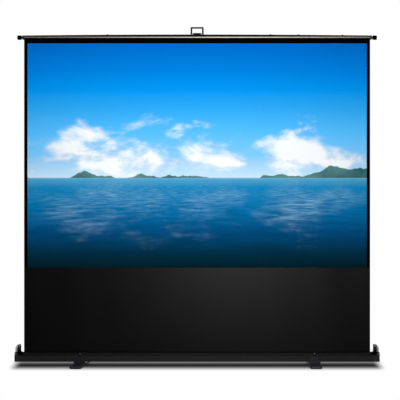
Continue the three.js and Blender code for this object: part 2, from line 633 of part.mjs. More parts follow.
// The sliders, their rods, and the plates that hold the rods
function slides() {
  const floor = CASE.bottom + CASE.wall + GAP;
  const lowerLeft = LOWER_ROD.left + ROD_PLATE.inset;
  const lowerRight = LOWER_ROD.right - ROD_PLATE.inset;
  const upperLeft = UPPER_ROD.left + ROD_PLATE.inset;
  const upperRight = UPPER_ROD.right - ROD_PLATE.inset;
  const { lowerY, upperY } = ROD;
  sliderBlock("lower_slider", LOWER_PIVOT_Z, lowerY, LOWER_ROD.z, LOWER_SLIDER_DEPTH);
  sliderBlock("upper_slider", UPPER_PIVOT_Z, upperY, UPPER_ROD.z, UPPER_SLIDER_DEPTH);
  const lowerRod = roundBar("x", ROD.radius, LOWER_ROD.left, LOWER_ROD.right, [lowerY, LOWER_ROD.z]);
  piece("lower_guide_rod", lowerRod, "zinc");
  const upperRod = roundBar("x", ROD.radius, UPPER_ROD.left, UPPER_ROD.right, [upperY, UPPER_ROD.z]);
  piece("upper_guide_rod", upperRod, "zinc");
  for (const [word, x] of [["inner", lowerLeft], ["outer", lowerRight]]) {
    const top = LOWER_ROD.z + ROD_PLATE.aboveRod;
    rodPlate(`lower_rod_plate_${word}`, x, lowerY, LOWER_ROD.z, LOWER_SLIDER_DEPTH, floor, top);
  }
  for (const [word, x] of [["inner", upperLeft], ["outer", upperRight]]) {
    const roof = BAR.top - BAR.wall + crownAt(x + ROD_PLATE.thickness) - GAP;
    const bottom = UPPER_PIVOT_Z + ROD_PLATE.abovePin;
    rodPlate(`upper_rod_plate_${word}`, x, upperY, UPPER_ROD.z, UPPER_SLIDER_DEPTH, bottom, roof);
  }
  const springStart = RIGHT_X + SLIDER.halfLength + GAP;
  const springEnd = lowerRight - ROD_PLATE.thickness / 2 - GAP;
  const wall = [
    [SPRING.inner, springStart],
    [SPRING.outer, springStart],
    [SPRING.outer, springEnd],
    [SPRING.inner, springEnd],
    [SPRING.inner, springStart],
  ];
  piece("lift_spring", turned("x", wall, [lowerY, LOWER_ROD.z], SMALL_ROUND), "springSteel");
}

// The panel on the back of the case, with the mains inlet and the rocker switch in it
function powerPanel() {
  const { x, z, halfWidth, halfHeight, thickness, corner } = PANEL;
  const inside = CASE.halfDepth + GAP;
  const outside = inside + thickness;
  const inletX = x + INLET.offset;
  const rockerX = x + ROCKER.offset;
  const outline = roundedRectangle(x - halfWidth, z - halfHeight, x + halfWidth, z + halfHeight, corner);
  const inletHole = box(
    [inletX - INLET.width / 2 - GAP, inside - OVERCUT, z - INLET.height / 2 - GAP],
    [inletX + INLET.width / 2 + GAP, outside + OVERCUT, z + INLET.height / 2 + GAP],
  );
  const rockerHole = box(
    [rockerX - ROCKER_SLOT.halfWidth, inside - OVERCUT, z - ROCKER_SLOT.halfHeight],
    [rockerX + ROCKER_SLOT.halfWidth, outside + OVERCUT, z + ROCKER_SLOT.halfHeight],
  );
  const holes = solid(inletHole).add(solid(rockerHole));
  const plate = solid(alongY(outline, inside, outside)).subtract(holes);
  piece("power_panel", geometryOf(plate), "mouldedBlack");

  const shell = solid(box(
    [inletX - INLET.width / 2, outside - INLET.depth, z - INLET.height / 2],
    [inletX + INLET.width / 2, outside, z + INLET.height / 2],
  ));
  const socket = box(
    [inletX - SOCKET.width / 2, outside - SOCKET.depth, z - SOCKET.height / 2],
    [inletX + SOCKET.width / 2, outside + OVERCUT, z + SOCKET.height / 2],
  );
  let inlet = shell.subtract(solid(socket));
  const contactRoot = outside - SOCKET.depth - OVERCUT;
  for (const [across, drop] of [[-1, 0], [0, INLET_PIN.middleDrop], [1, 0]]) {
    const contactX = inletX + across * INLET_PIN.spread;
    const contact = box(
      [contactX - INLET_PIN.width / 2, contactRoot, z - drop - INLET_PIN.height / 2],
      [contactX + INLET_PIN.width / 2, contactRoot + INLET_PIN.length, z - drop + INLET_PIN.height / 2],
    );
    inlet = inlet.add(solid(contact));
  }
  piece("power_inlet", geometryOf(inlet), "mouldedBlack");

  const face = CASE.halfDepth + ROCKER.reach;
  const rocker = polygon([
    [CASE.halfDepth - ROCKER_BACK.depth, z - ROCKER_BACK.halfHeight],
    [face, z - ROCKER.halfHeight],
    [face - ROCKER.dip, z],
    [face, z + ROCKER.halfHeight],
    [CASE.halfDepth - ROCKER_BACK.depth, z + ROCKER_BACK.halfHeight],
  ]);
  const rockerBody = alongX(rocker, rockerX - ROCKER.halfWidth, rockerX + ROCKER.halfWidth);
  piece("rocker_switch", rockerBody, "mouldedBlack");
}

// The control board behind the back wall, with its transformer, relays and connector
function controlBoard() {
  const { left, length, bottom, height, y, thickness } = BOARD;
  let body = solid(box([left, y, bottom], [left + length, y + thickness, bottom + height]));
  const parts = [
    { at: 10, width: 34, depth: 17, low: 4, tall: 28 },
    { at: 56, width: 18, depth: 14, low: 6, tall: 16 },
    { at: 80, width: 18, depth: 14, low: 6, tall: 16 },
    { at: 112, width: 28, depth: 10, low: 8, tall: 12 },
  ];
  for (const { at, width, depth, low, tall } of parts) {
    const part = box(
      [left + at, y - depth, bottom + low],
      [left + at + width, y + thickness / 2, bottom + low + tall],
    );
    body = body.add(solid(part));
  }
  piece("control_board", geometryOf(body), "boardGreen");
}

// The folding handle on the bar, and the saddle whose trunnions it turns on
function handle() {
  const { halfWidth, top, strip, depth, pivotZ, cornerRadius } = HANDLE;
  const inner = halfWidth - strip;
  const legMiddle = halfWidth - strip / 2;
  const outline = new THREE.Shape();
  outline.absarc(-legMiddle, pivotZ, strip / 2, Math.PI, 2 * Math.PI);
  outline.lineTo(-inner, top - strip);
  outline.lineTo(inner, top - strip);
  outline.absarc(legMiddle, pivotZ, strip / 2, Math.PI, 2 * Math.PI);
  outline.lineTo(halfWidth, top - cornerRadius);
  outline.absarc(halfWidth - cornerRadius, top - cornerRadius, cornerRadius, 0, Math.PI / 2);
  outline.absarc(-halfWidth + cornerRadius, top - cornerRadius, cornerRadius, Math.PI / 2, Math.PI);
  const bail = solid(alongY(outline, BAR_MIDDLE_Y - depth / 2, BAR_MIDDLE_Y + depth / 2));
  const pivot = [BAR_MIDDLE_Y, pivotZ];
  const trunnionHole = roundBar("x", TRUNNION.radius + GAP, -halfWidth - OVERCUT, halfWidth + OVERCUT, pivot);
  piece("pull_handle", geometryOf(bail.subtract(solid(trunnionHole))), "handleGrey");

  const foot = BAR.top + BAR_CROWN.rise + GAP;
  const section = polygon([
    [BAR_MIDDLE_Y - SADDLE.halfDepth, foot],
    [BAR_MIDDLE_Y + SADDLE.halfDepth, foot],
    [BAR_MIDDLE_Y + SADDLE.halfDepth - SADDLE.slope, foot + SADDLE.height],
    [BAR_MIDDLE_Y - SADDLE.halfDepth + SADDLE.slope, foot + SADDLE.height],
  ]);
  const block = solid(alongX(section, -SADDLE.halfLength, SADDLE.halfLength));
  const trunnions = roundBar("x", TRUNNION.radius, -TRUNNION.reach, TRUNNION.reach, pivot, TRUNNION.sides);
  piece("handle_saddle", geometryOf(block.add(solid(trunnions))), "powderBlack");
}

// One foot with its pads, drawn at its own pivot and then put in place
function foot(word, x, turn) {
  const halfWidth = FOOT.width / 2;
  const halfLength = FOOT.length / 2;
  const top = FOOT.bottom + FOOT.thickness;
  const hubTop = CASE.bottom - BRACKET.underCase - BRACKET.thickness - GAP;
  const outline = roundedRectangle(-halfWidth, -halfLength, halfWidth, halfLength, FOOT.corner);
  const hub = roundBar("z", FOOT.hubRadius, top - OVERCUT, hubTop, [0, 0], ROUND);
  const hole = roundBar("z", FOOT_BOLT.radius + GAP, 0, hubTop + OVERCUT, [0, 0]);
  const recessTop = FOOT.bottom + FOOT_BOLT.recess;
  const recess = roundBar("z", FOOT_BOLT.headRadius + 2 * GAP, 0, recessTop, [0, 0], ROUND);
  const holes = solid(hole).add(solid(recess));
  const bar = solid(alongZ(outline, FOOT.bottom, top)).add(solid(hub)).subtract(holes);
  const place = new THREE.Group();
  place.position.set(x, 0, 0);
  place.rotation.z = turn;
  place.add(piece(`foot_${word}`, geometryOf(bar), "powderBlack"));
  for (const [end, side] of [["front", -1], ["rear", 1]]) {
    const middle = side * PAD.fromMiddle;
    const left = -PAD.width / 2;
    const low = middle - PAD.length / 2;
    const shape = roundedRectangle(left, low, left + PAD.width, low + PAD.length, PAD.corner);
    place.add(piece(`foot_pad_${end}_${word}`, alongZ(shape, 0, FOOT.bottom - GAP), "rubber"));
  }
  screen.add(place);
}

// The bracket that hooks over the case's front above a foot, its pivot bolt and its round screw
function footMounting(word, x) {
  const front = -CASE.halfDepth - BRACKET.underCase;
  const plateTop = CASE.bottom - BRACKET.underCase;
  const plateBottom = plateTop - BRACKET.thickness;
  const tabFront = front - BRACKET.thickness;
  const skirt = FOOT.bottom + FOOT.thickness + BRACKET.aboveFoot;
  const section = polygon([
    [tabFront, skirt],
    [front, skirt],
    [front, plateBottom],
    [BRACKET.rear, plateBottom],
    [BRACKET.rear, plateTop],
    [front, plateTop],
    [front, TAB.top],
    [tabFront, TAB.top],
  ]);
  const outline = polygon([
    [x - BRACKET.halfWidth, skirt - OVERCUT],
    [x + BRACKET.halfWidth, skirt - OVERCUT],
    [x + BRACKET.halfWidth, TAB.straightTo],
    [x + TAB.halfTop, TAB.top - TAB.corner],
    [x + TAB.halfTop - TAB.corner, TAB.top],
    [x - TAB.halfTop + TAB.corner, TAB.top],
    [x - TAB.halfTop, TAB.top - TAB.corner],
    [x - BRACKET.halfWidth, TAB.straightTo],
  ]);
  const hook = solid(alongX(section, x - BRACKET.halfWidth, x + BRACKET.halfWidth));
  const silhouette = solid(alongY(outline, tabFront - OVERCUT, BRACKET.rear + OVERCUT));
  const boltRadius = FOOT_BOLT.radius + GAP;
  const boltHole = roundBar("z", boltRadius, plateBottom - OVERCUT, plateTop + OVERCUT, [x, 0]);
  const screwRadius = FOOT_SCREW.radius + GAP;
  const screwHole = roundBar("y", screwRadius, tabFront - OVERCUT, front + OVERCUT, [x, FOOT_SCREW.z]);
  const bracket = hook.intersect(silhouette).subtract(solid(boltHole)).subtract(solid(screwHole));
  piece(`foot_bracket_${word}`, geometryOf(bracket), "tabBlue");

  const headTop = FOOT.bottom + FOOT_BOLT.recess - GAP;
  const headBottom = headTop - FOOT_BOLT.headHeight;
  const bolt = [
    [0, headBottom],
    [FOOT_BOLT.headRadius, headBottom],
    [FOOT_BOLT.headRadius, headTop],
    [FOOT_BOLT.radius, headTop],
    [FOOT_BOLT.radius, FOOT_BOLT.top],
    [0, FOOT_BOLT.top],
  ];
  piece(`foot_pivot_bolt_${word}`, turned("z", bolt, [x, 0], SMALL_ROUND), "zinc");

  const headRear = tabFront - GAP;
  const headFront = headRear - FOOT_SCREW.headLength;
  const shaftEnd = -CASE.halfDepth + CASE.wall - FOOT_SCREW.short;
  const screw = [
    [0, headFront],
    [FOOT_SCREW.headRadius - FOOT_SCREW.crown, headFront],
    [FOOT_SCREW.headRadius, headFront + FOOT_SCREW.crown],
    [FOOT_SCREW.headRadius, headRear],
    [FOOT_SCREW.radius, headRear],
    [FOOT_SCREW.radius, shaftEnd],
    [0, shaftEnd],
  ];
  piece(`foot_screw_${word}`, turned("y", screw, [x, FOOT_SCREW.z], ROUND), "mouldedBlack");
}

caseBase();
caseCover("case_front_cover", -1, SLOT.front);
caseCover("case_rear_cover", 1, SLOT.rear);
endCap("end_cap_left", -1);
endCap("end_cap_right", 1);
roller();
motor();
idler();
cloth();
topBar();
barEnd(-1, "left");
barEnd(1, "right");
arms();
fixedBrackets();
pins();
slides();
powerPanel();
controlBoard();
handle();
foot("left", -FOOT.x, LEFT_FOOT_TURN);
foot("right", FOOT.x, 0);
footMounting("left", -FOOT.x);
footMounting("right", FOOT.x);

export default screen;
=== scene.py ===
# %% [markdown]
# # A floor-rising projection screen
# The real object is a long black case on two cross feet. A scissor of four flat arms stands up
# out of it and lifts a top bar, and the cloth is drawn off a roller between the two. Its metal
# skeleton comes ready made, piece by piece, and this lesson gives every piece its finish:
# rounded edges, woven cloth, powder coat, a wound spring, and light as in a photo studio.

# %% Load the skeleton
import json
import math

import bmesh
import bpy
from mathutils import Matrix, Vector


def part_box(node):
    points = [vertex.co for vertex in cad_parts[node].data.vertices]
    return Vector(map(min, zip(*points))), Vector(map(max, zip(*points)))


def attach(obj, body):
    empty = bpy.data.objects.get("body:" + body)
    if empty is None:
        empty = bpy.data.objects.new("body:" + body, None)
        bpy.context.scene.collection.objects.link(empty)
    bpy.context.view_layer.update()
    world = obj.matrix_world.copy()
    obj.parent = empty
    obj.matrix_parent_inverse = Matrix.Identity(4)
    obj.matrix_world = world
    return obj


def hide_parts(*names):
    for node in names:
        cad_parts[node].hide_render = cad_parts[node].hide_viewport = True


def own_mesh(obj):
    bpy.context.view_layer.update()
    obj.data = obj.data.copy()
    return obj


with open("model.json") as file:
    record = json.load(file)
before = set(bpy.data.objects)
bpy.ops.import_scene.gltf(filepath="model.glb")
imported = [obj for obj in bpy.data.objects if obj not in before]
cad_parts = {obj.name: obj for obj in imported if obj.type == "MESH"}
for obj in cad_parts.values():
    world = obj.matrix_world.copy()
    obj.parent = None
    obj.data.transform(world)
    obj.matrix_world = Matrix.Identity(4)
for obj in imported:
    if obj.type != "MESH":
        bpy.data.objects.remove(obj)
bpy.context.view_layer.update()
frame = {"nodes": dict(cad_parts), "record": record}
MM = 0.001
BODY_OF = {node: body for body, nodes in frame["record"]["behaviour"]["bodies"].items() for node in nodes}
SLOT_OF = {row["node"]: row["material_slot"] for row in frame["record"]["subparts"]}


def linked(name, data):
    thing = bpy.data.objects.new(name, data)
    bpy.context.scene.collection.objects.link(thing)
    return thing


print("pieces in the skeleton:", len(BODY_OF))

# %% [markdown]
# ## The camera
# The photograph was taken straight on, from about the middle of the screen's height and from far
# back, with a long lens. The scale comes from the picture area, and the horizon from the height at
# which the tops and undersides of level edges close up.

# %% Camera
IMAGE_SIDE_PX = 400
PX_PER_M_AT_CLOTH = 160.1
HORIZON_PX = 184
MIDDLE_PX = 197.1
SENSOR_MM = 36
CAMERA_DISTANCE = 9.8
CAMERA_HEIGHT = 1.134
CLOTH_Y = (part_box("screen_cloth")[0].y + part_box("screen_cloth")[1].y) / 2

camera_data = bpy.data.cameras.new("studio_camera")
camera_data.sensor_width = SENSOR_MM
camera_data.lens = PX_PER_M_AT_CLOTH * CAMERA_DISTANCE * SENSOR_MM / IMAGE_SIDE_PX
camera_data.shift_y = (HORIZON_PX - IMAGE_SIDE_PX / 2) / IMAGE_SIDE_PX
camera = linked("studio_camera", camera_data)
camera_side = (IMAGE_SIDE_PX / 2 - MIDDLE_PX) / PX_PER_M_AT_CLOTH
camera.location = (camera_side, CLOTH_Y - CAMERA_DISTANCE, CAMERA_HEIGHT)
camera.rotation_euler = (math.radians(90), 0, 0)
bpy.context.scene.camera = camera
print("lens in mm:", round(camera_data.lens, 1))

# %% [markdown]
# ## Small tools for materials
# Colours are written as the sRGB values that a paint chart gives, and turned to the linear values
# that the shader wants.


# %% Colour helpers
def linear(hex_colour):
    channels = [int(hex_colour[i:i + 2], 16) / 255 for i in (1, 3, 5)]
    bent = [c / 12.92 if c <= 0.04045 else ((c + 0.055) / 1.055) ** 2.4 for c in channels]
    return (*bent, 1.0)


def grey(level):
    return (level, level, level, 1.0)


print("mid grey in linear light:", round(linear("#808080")[0], 3))

# %% [markdown]
# A material is a tree of nodes. It could be put together by hand in the editor, but a tree that is
# written down can be read and changed. One small function adds a node, sets its values and links
# its inputs, so that each finish below reads as a short list.


# %% Node helpers
def bare_tree(owner):
    owner.use_nodes = True
    owner.node_tree.nodes.clear()
    return owner.node_tree


def fill(tree, node, values=None, links=None):
    for key, value in (values or {}).items():
        node.inputs[key].default_value = value
    for key, socket in (links or {}).items():
        tree.links.new(socket, node.inputs[key])
    return node


def add_node(tree, kind, values=None, links=None, **settings):
    node = tree.nodes.new(kind)
    for key, value in settings.items():
        setattr(node, key, value)
    return fill(tree, node, values, links)


def add_ramp(tree, factor, stops):
    node = add_node(tree, "ShaderNodeValToRGB", links={"Fac": factor})
    elements = node.color_ramp.elements
    while len(elements) > 1:
        elements.remove(elements[-1])
    elements[0].position, elements[0].color = stops[0]
    for position, colour in stops[1:]:
        elements.new(position).color = colour
    return node.outputs["Color"]


def calc(tree, operation, first, second=None, third=None):
    node = add_node(tree, "ShaderNodeMath", operation=operation)
    for index, value in enumerate((first, second, third)):
        if value is None:
            continue
        if isinstance(value, (int, float)):
            node.inputs[index].default_value = value
        else:
            tree.links.new(value, node.inputs[index])
    return node.outputs["Value"]


def times(tree, product, *factors):
    for factor in factors:
        product = calc(tree, "MULTIPLY", product, factor)
    return product


def noise(tree, place, scale, detail, **more):
    values = {"Scale": scale, "Detail": detail} | {key.title(): value for key, value in more.items()}
    return add_node(tree, "ShaderNodeTexNoise", values, {"Vector": place}).outputs["Fac"]


def spread(tree, value, from_low, from_high, to_low=0.0, to_high=1.0, **settings):
    limits = {"From Min": from_low, "From Max": from_high, "To Min": to_low, "To Max": to_high}
    return add_node(tree, "ShaderNodeMapRange", limits, {"Value": value}, **settings).outputs["Result"]


def bumps(tree, height, strength, distance_mm):
    values = {"Strength": strength, "Distance": distance_mm * MM}
    return add_node(tree, "ShaderNodeBump", values, {"Height": height}).outputs["Normal"]


def new_material(name):
    material = bpy.data.materials.new(name)
    tree = bare_tree(material)
    shader = add_node(tree, "ShaderNodeBsdfPrincipled")
    add_node(tree, "ShaderNodeOutputMaterial", links={"Surface": shader.outputs["BSDF"]})
    place = add_node(tree, "ShaderNodeTexCoord").outputs["Object"]
    return material, tree, shader, place


print("materials so far:", len(bpy.data.materials))

# %% [markdown]
# ## Powder coat, drawn metal and moulded plastic
# The case and feet are metal with a baked powder coat. Under a lens it has a fine orange peel,
# about a millimetre from bump to bump, and its gloss drifts a little where the coat is thicker.
# Drawn and anodised pieces have fine streaks along their length. Moulded plastic has a spark-eroded
# grain, taken over from the mould, which turns reflections into a soft sheen. A picture of such a
# surface would show its pixels close up, so noise in the piece's own coordinates makes them all.

# %% Powder coat and anodised finishes
PEEL_MM = 1.1
COAT_DRIFT_M = 0.18
STREAK_STRETCH = 0.02
PLASTIC_DRIFTS_PER_M = 25.0


def powder_coat(name, colour, worn_colour, roughness, shine):
    material, tree, shader, place = new_material(name)
    peel = noise(tree, place, 1 / (PEEL_MM * MM), 2.0)
    drift = noise(tree, place, 1 / COAT_DRIFT_M, 3.0)
    fill(tree, shader, {"Specular IOR Level": shine}, {
        "Base Color": add_ramp(tree, drift, [(0.3, linear(colour)), (0.75, linear(worn_colour))]),
        "Roughness": spread(tree, drift, 0.3, 0.7, roughness - 0.06, roughness + 0.08),
        "Normal": bumps(tree, peel, 0.25, 0.06),
    })
    return material


def drawn_metal(name, colour, pale_colour, roughness, metallic, streak_mm, shine=0.5):
    material, tree, shader, place = new_material(name)
    stretched = add_node(tree, "ShaderNodeMapping", {"Scale": (STREAK_STRETCH, 1.0, 1.0)}, {"Vector": place})
    streaks = noise(tree, stretched.outputs["Vector"], 1 / (streak_mm * MM), 4.0)
    fill(tree, shader, {"Specular IOR Level": shine, "Metallic": metallic}, {
        "Base Color": add_ramp(tree, streaks, [(0.35, linear(colour)), (0.7, linear(pale_colour))]),
        "Roughness": spread(tree, streaks, 0.3, 0.7, roughness - 0.05, roughness + 0.07),
        "Normal": bumps(tree, streaks, 0.15, 0.03),
    })
    return material


def moulded_plastic(name, colour, pale_colour, roughness, grain_mm, shine):
    material, tree, shader, place = new_material(name)
    cells = add_node(tree, "ShaderNodeTexVoronoi", {"Scale": 1 / (grain_mm * MM)}, {"Vector": place})
    drift = noise(tree, place, PLASTIC_DRIFTS_PER_M, 3.0)
    fill(tree, shader, {"Specular IOR Level": shine}, {
        "Base Color": add_ramp(tree, drift, [(0.3, linear(colour)), (0.75, linear(pale_colour))]),
        "Roughness": spread(tree, drift, 0.3, 0.7, roughness - 0.05, roughness + 0.05),
        "Normal": bumps(tree, cells.outputs["Distance"], 0.3, 0.05),
    })
    return material


print("orange peel in mm:", PEEL_MM)

# %% [markdown]
# The horn's outer edge is rounded and catches the white room. Here that sheen is a painted
# reflection: the plastic is painted paler there, most of all at the horn's outer edge, and fades
# back to black inwards and down. A mask could be painted by hand, but two gradients and a noise do it with a
# few numbers.

# %% Painted reflection on the horns
HORN_OUTER = 1.1355
HORN_BEND = 0.103
HORN_LEAN = 0.69
PAINTED_REFLECTION_WIDTH = 0.03
PAINTED_REFLECTION_HEIGHTS = (0.04, 0.098)
PAINTED_REFLECTION_PATCHES_PER_M = 90.0
PAINTED_REFLECTION_STOPS = [(0.0, "#020202"), (0.13, "#0c0c0c"), (0.33, "#242424"), (0.55, "#6a6a6a"),
                (0.75, "#969696"), (1.0, "#b0b0b0")]


def painted_reflection_plastic(name):
    material, tree, shader, place = new_material(name)
    spot = add_node(tree, "ShaderNodeSeparateXYZ", links={"Vector": place}).outputs
    above_bend = calc(tree, "MAXIMUM", calc(tree, "SUBTRACT", spot["Z"], HORN_BEND), 0.0)
    outward = calc(tree, "MULTIPLY_ADD", above_bend, HORN_LEAN, calc(tree, "ABSOLUTE", spot["X"]))
    at_edge = spread(tree, outward, HORN_OUTER - PAINTED_REFLECTION_WIDTH, HORN_OUTER)
    share = times(tree, at_edge, spread(tree, spot["Z"], *PAINTED_REFLECTION_HEIGHTS))
    patches = calc(tree, "SUBTRACT", noise(tree, place, PAINTED_REFLECTION_PATCHES_PER_M, 4.0), 0.5)
    painted_glint = times(tree, share, calc(tree, "MULTIPLY_ADD", patches, 0.3, 1.0))
    shade = add_ramp(tree, painted_glint, [(stop, linear(colour)) for stop, colour in PAINTED_REFLECTION_STOPS])
    fill(tree, shader, {"Roughness": 0.45, "Specular IOR Level": 0.0}, {"Base Color": shade})
    return material


print("painted reflection strip in mm:", PAINTED_REFLECTION_WIDTH / MM)

# %% [markdown]
# ## The finishes
# Each finish belongs to one material slot of the skeleton. The blacks differ on purpose: a coat is
# greyer than moulded plastic, and the feet and their brackets have a blue cast.

# %% Finishes by slot
finishes = {
    "case_metal": powder_coat("powder_coated_aluminium", "#141414", "#181818", 0.5, 0.02),
    "bar_metal": drawn_metal("satin_anodised_bar", "#3f3c39", "#484440", 0.36, 1.0, 0.5),
    "arm_metal": drawn_metal("black_anodised_flat_bar", "#242629", "#2e3135", 0.4, 0.6, 0.6, 0.2),
    "bare_aluminium": drawn_metal("drawn_aluminium", "#a9adb1", "#c3c6c9", 0.38, 1.0, 0.4),
    "zinc_steel": drawn_metal("zinc_plated_steel", "#9b9fa3", "#b9bcbf", 0.34, 1.0, 0.8),
    "spring_steel": drawn_metal("spring_wire", "#6f7377", "#8a8e91", 0.32, 1.0, 0.3),
    "moulded_plastic": moulded_plastic("moulded_black_plastic", "#171717", "#1b1b1b", 0.45, 0.7, 0.03),
    "motor_metal": powder_coat("enamelled_motor_tube", "#1b1c1e", "#232427", 0.35, 0.3),
    "handle_metal": powder_coat("coated_grey_steel", "#0b0d0d", "#101212", 0.5, 0.01),
    "bracket_metal": powder_coat("blue_black_bracket_coat", "#08090d", "#0e0f15", 0.42, 0.04),
    "foot_metal": powder_coat("powder_coated_foot", "#09090e", "#101017", 0.4, 0.12),
    "pad_rubber": moulded_plastic("moulded_rubber", "#0c0c0c", "#121212", 0.8, 0.5, 0.1),
    "board": moulded_plastic("lacquered_board", "#1d5538", "#246443", 0.4, 1.2, 0.4),
}
# Painted shade: near black for the bar's top and seam and for the groove between base and covers.
painted_shade_black = powder_coat("painted_shade_matt_black", "#020202", "#050505", 0.6, 0.03)
cover_coat = powder_coat("powder_coated_cover", "#060606", "#090909", 0.5, 0.02)
horn_black = moulded_plastic("soft_black_horn", "#020202", "#040404", 0.45, 0.7, 0.0)
# Painted reflection: the horns' outer edge is painted paler, where its curve catches the white room.
horn_painted_reflection = painted_reflection_plastic("painted_reflection_black_horn")
screw_black = moulded_plastic("polished_black_screw", "#060606", "#090909", 0.3, 0.9, 0.05)
print("finishes:", len(finishes) + 5)

# %% [markdown]
# ## Rounded edges for the metal and plastic pieces
# A real extrusion or moulding never has a knife edge: the light runs along a small radius. Each
# piece could be modelled anew, but a copy of the skeleton's keeps every hole in its place. Its
# loose triangles are merged and its flat faces joined, and a Bevel modifier rounds the edges by
# the radius that such a piece has. Where one piece has two finishes, it is first cut at the
# heights where they meet, and its faces are sorted.


# %% Dress the rigid pieces
EDGE_ANGLE = 35
FLAT_ANGLE = 1
SAME_PLACE = 1e-6


def takes_place(piece, node):
    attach(piece, BODY_OF[node])
    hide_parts(node)


def dressed(node, radius_mm, segments=2, finish=None, others=(), sort_face=None, cuts=()):
    mesh = frame["nodes"][node].data.copy()
    mesh.materials.clear()
    mesh.materials.append(finish or finishes[SLOT_OF[node]])
    for other in others:
        mesh.materials.append(other)
    work = bmesh.new()
    work.from_mesh(mesh)
    bmesh.ops.remove_doubles(work, verts=work.verts, dist=SAME_PLACE)
    bmesh.ops.dissolve_limit(work, angle_limit=math.radians(FLAT_ANGLE), verts=work.verts, edges=work.edges)
    for height in cuts:
        everything = list(work.verts) + list(work.edges) + list(work.faces)
        bmesh.ops.bisect_plane(work, geom=everything, plane_co=(0, 0, height), plane_no=(0, 0, 1))
    for face in work.faces:
        face.material_index = sort_face(face) if sort_face else 0
        face.smooth = True
    work.to_mesh(mesh)
    work.free()
    piece = linked(f"finished_{node}", mesh)
    mesh.set_sharp_from_angle(angle=math.radians(EDGE_ANGLE))
    bevel = piece.modifiers.new("edge_radius", "BEVEL")
    bevel.width = radius_mm * MM
    bevel.segments = segments
    bevel.limit_method = "ANGLE"
    bevel.angle_limit = math.radians(EDGE_ANGLE)
    bevel.harden_normals = True
    weight = piece.modifiers.new("flat_faces_stay_flat", "WEIGHTED_NORMAL")
    weight.keep_sharp = True
    takes_place(piece, node)
    return piece


EDGE_RADII_MM = {
    "bar_end_cap_left": 0.8, "bar_end_cap_right": 0.8,
    "foot_left": 2.0, "foot_right": 2.0,
    "foot_bracket_left": 0.6, "foot_bracket_right": 0.6,
    "foot_pad_front_left": 0.8, "foot_pad_rear_left": 0.8,
    "foot_pad_front_right": 0.8, "foot_pad_rear_right": 0.8,
    "foot_pivot_bolt_left": 0.4, "foot_pivot_bolt_right": 0.4,
    "handle_saddle": 0.6,
    "lower_front_arm": 0.8, "lower_rear_arm": 0.8, "upper_front_arm": 0.8, "upper_rear_arm": 0.8,
    "lower_slider": 0.5, "upper_slider": 0.5,
    "motor_bracket": 0.3, "idler_bracket": 0.3, "lower_fixed_bracket": 0.3, "upper_fixed_bracket": 0.3,
    "lower_rod_plate_inner": 0.3, "lower_rod_plate_outer": 0.3,
    "upper_rod_plate_inner": 0.3, "upper_rod_plate_outer": 0.3,
    "power_panel": 0.5, "power_inlet": 0.3, "rocker_switch": 0.6,
    "cloth_clamp_strip": 0.3, "control_board": 0.2,
}
for node, radius in EDGE_RADII_MM.items():
    dressed(node, radius)
print("plain pieces:", len(EDGE_RADII_MM))

# %% [markdown]
# ## The pull handle
# Its flat strip is coated thickly. The coat fills the frame's inside by a millimetre or two, and
# leaves its outline as it is.

# %% Pull handle
HANDLE_INSIDE = 0.033
HANDLE_ARCH_FOOT, HANDLE_ARCH_TOP = 2.1, 2.108
HANDLE_INSIDE_SHARE = 0.94
HANDLE_ARCH_DROP = 1.2 * MM
handle = dressed("pull_handle", 1.0, segments=3)
for vertex in handle.data.vertices:
    if abs(vertex.co.x) < HANDLE_INSIDE and vertex.co.z < HANDLE_ARCH_TOP:
        vertex.co.x *= HANDLE_INSIDE_SHARE
        vertex.co.z -= HANDLE_ARCH_DROP if vertex.co.z > HANDLE_ARCH_FOOT else 0.0
print("handle vertices:", len(handle.data.vertices))

# %% [markdown]
# ## Black lines in the metal
# Some pieces have more than one finish. The bar is anodised only on its front band: its sloping
# top and its lower seam get a near-black painted shade. Base and covers meet in a groove whose
# faces get the same painted shade. The end caps' upper part, the horn, is black plastic with a
# painted reflection, paler towards its outer edge, on its front and outer side. The faces are
# sorted by where they are and which way they face.

# %% Pieces with two finishes
BAR_SEAM = 2.0462
BAR_BROW = 2.0530
GROOVE_LOW = 0.0655
GROOVE_HIGH = 0.0702
HORN_FOOT = 0.0705
LEANS_AWAY = 0.2
LEANS_OUTWARD = 0.15
FACES_ROOM = -0.9


def in_bar_painted_shade(face):
    turned_away = face.normal.z > LEANS_AWAY or face.normal.y > LEANS_AWAY
    height = face.calc_center_median().z
    return 1 if turned_away or height < BAR_SEAM or height > BAR_BROW else 0


def below_groove_top(face):
    return 1 if face.calc_center_median().z < GROOVE_HIGH else 0


def above_groove_foot(face):
    return 1 if face.calc_center_median().z > GROOVE_LOW else 0


def horn_part(face):
    if face.calc_center_median().z < HORN_FOOT:
        return 0
    outward = face.normal.x * math.copysign(1, face.calc_center_median().x)
    return 2 if outward > LEANS_OUTWARD or face.normal.y < FACES_ROOM else 1


COVERS = ("case_front_cover", "case_rear_cover")
END_CAPS = ("end_cap_left", "end_cap_right")
dressed("top_bar", 0.4, others=[painted_shade_black], sort_face=in_bar_painted_shade, cuts=[BAR_SEAM, BAR_BROW])
dressed("case_base", 0.4, others=[painted_shade_black], sort_face=above_groove_foot)
for node in COVERS:
    dressed(node, 0.4, finish=cover_coat, others=[painted_shade_black], sort_face=below_groove_top)
for node in END_CAPS:
    dressed(node, 1.2, others=[horn_black, horn_painted_reflection], sort_face=horn_part, cuts=[HORN_FOOT])
print("pieces with more than one finish:", 2 + len(COVERS) + len(END_CAPS))

# %% [markdown]
# ## Turned pieces
# Knobs, pins, rods and thumb screws come off a lathe or out of a round mould. Each is a profile of
# places and radii that is carried round its axis. A row may also have a flute depth: there the
# radius dips in and out round the piece, which makes the ribs of a grip or the teeth of a knurl.

# %% Lathe helper
X_AXIS, Y_AXIS, Z_AXIS = 0, 1, 2
ROUND_PIECE_EDGE_ANGLE = 40


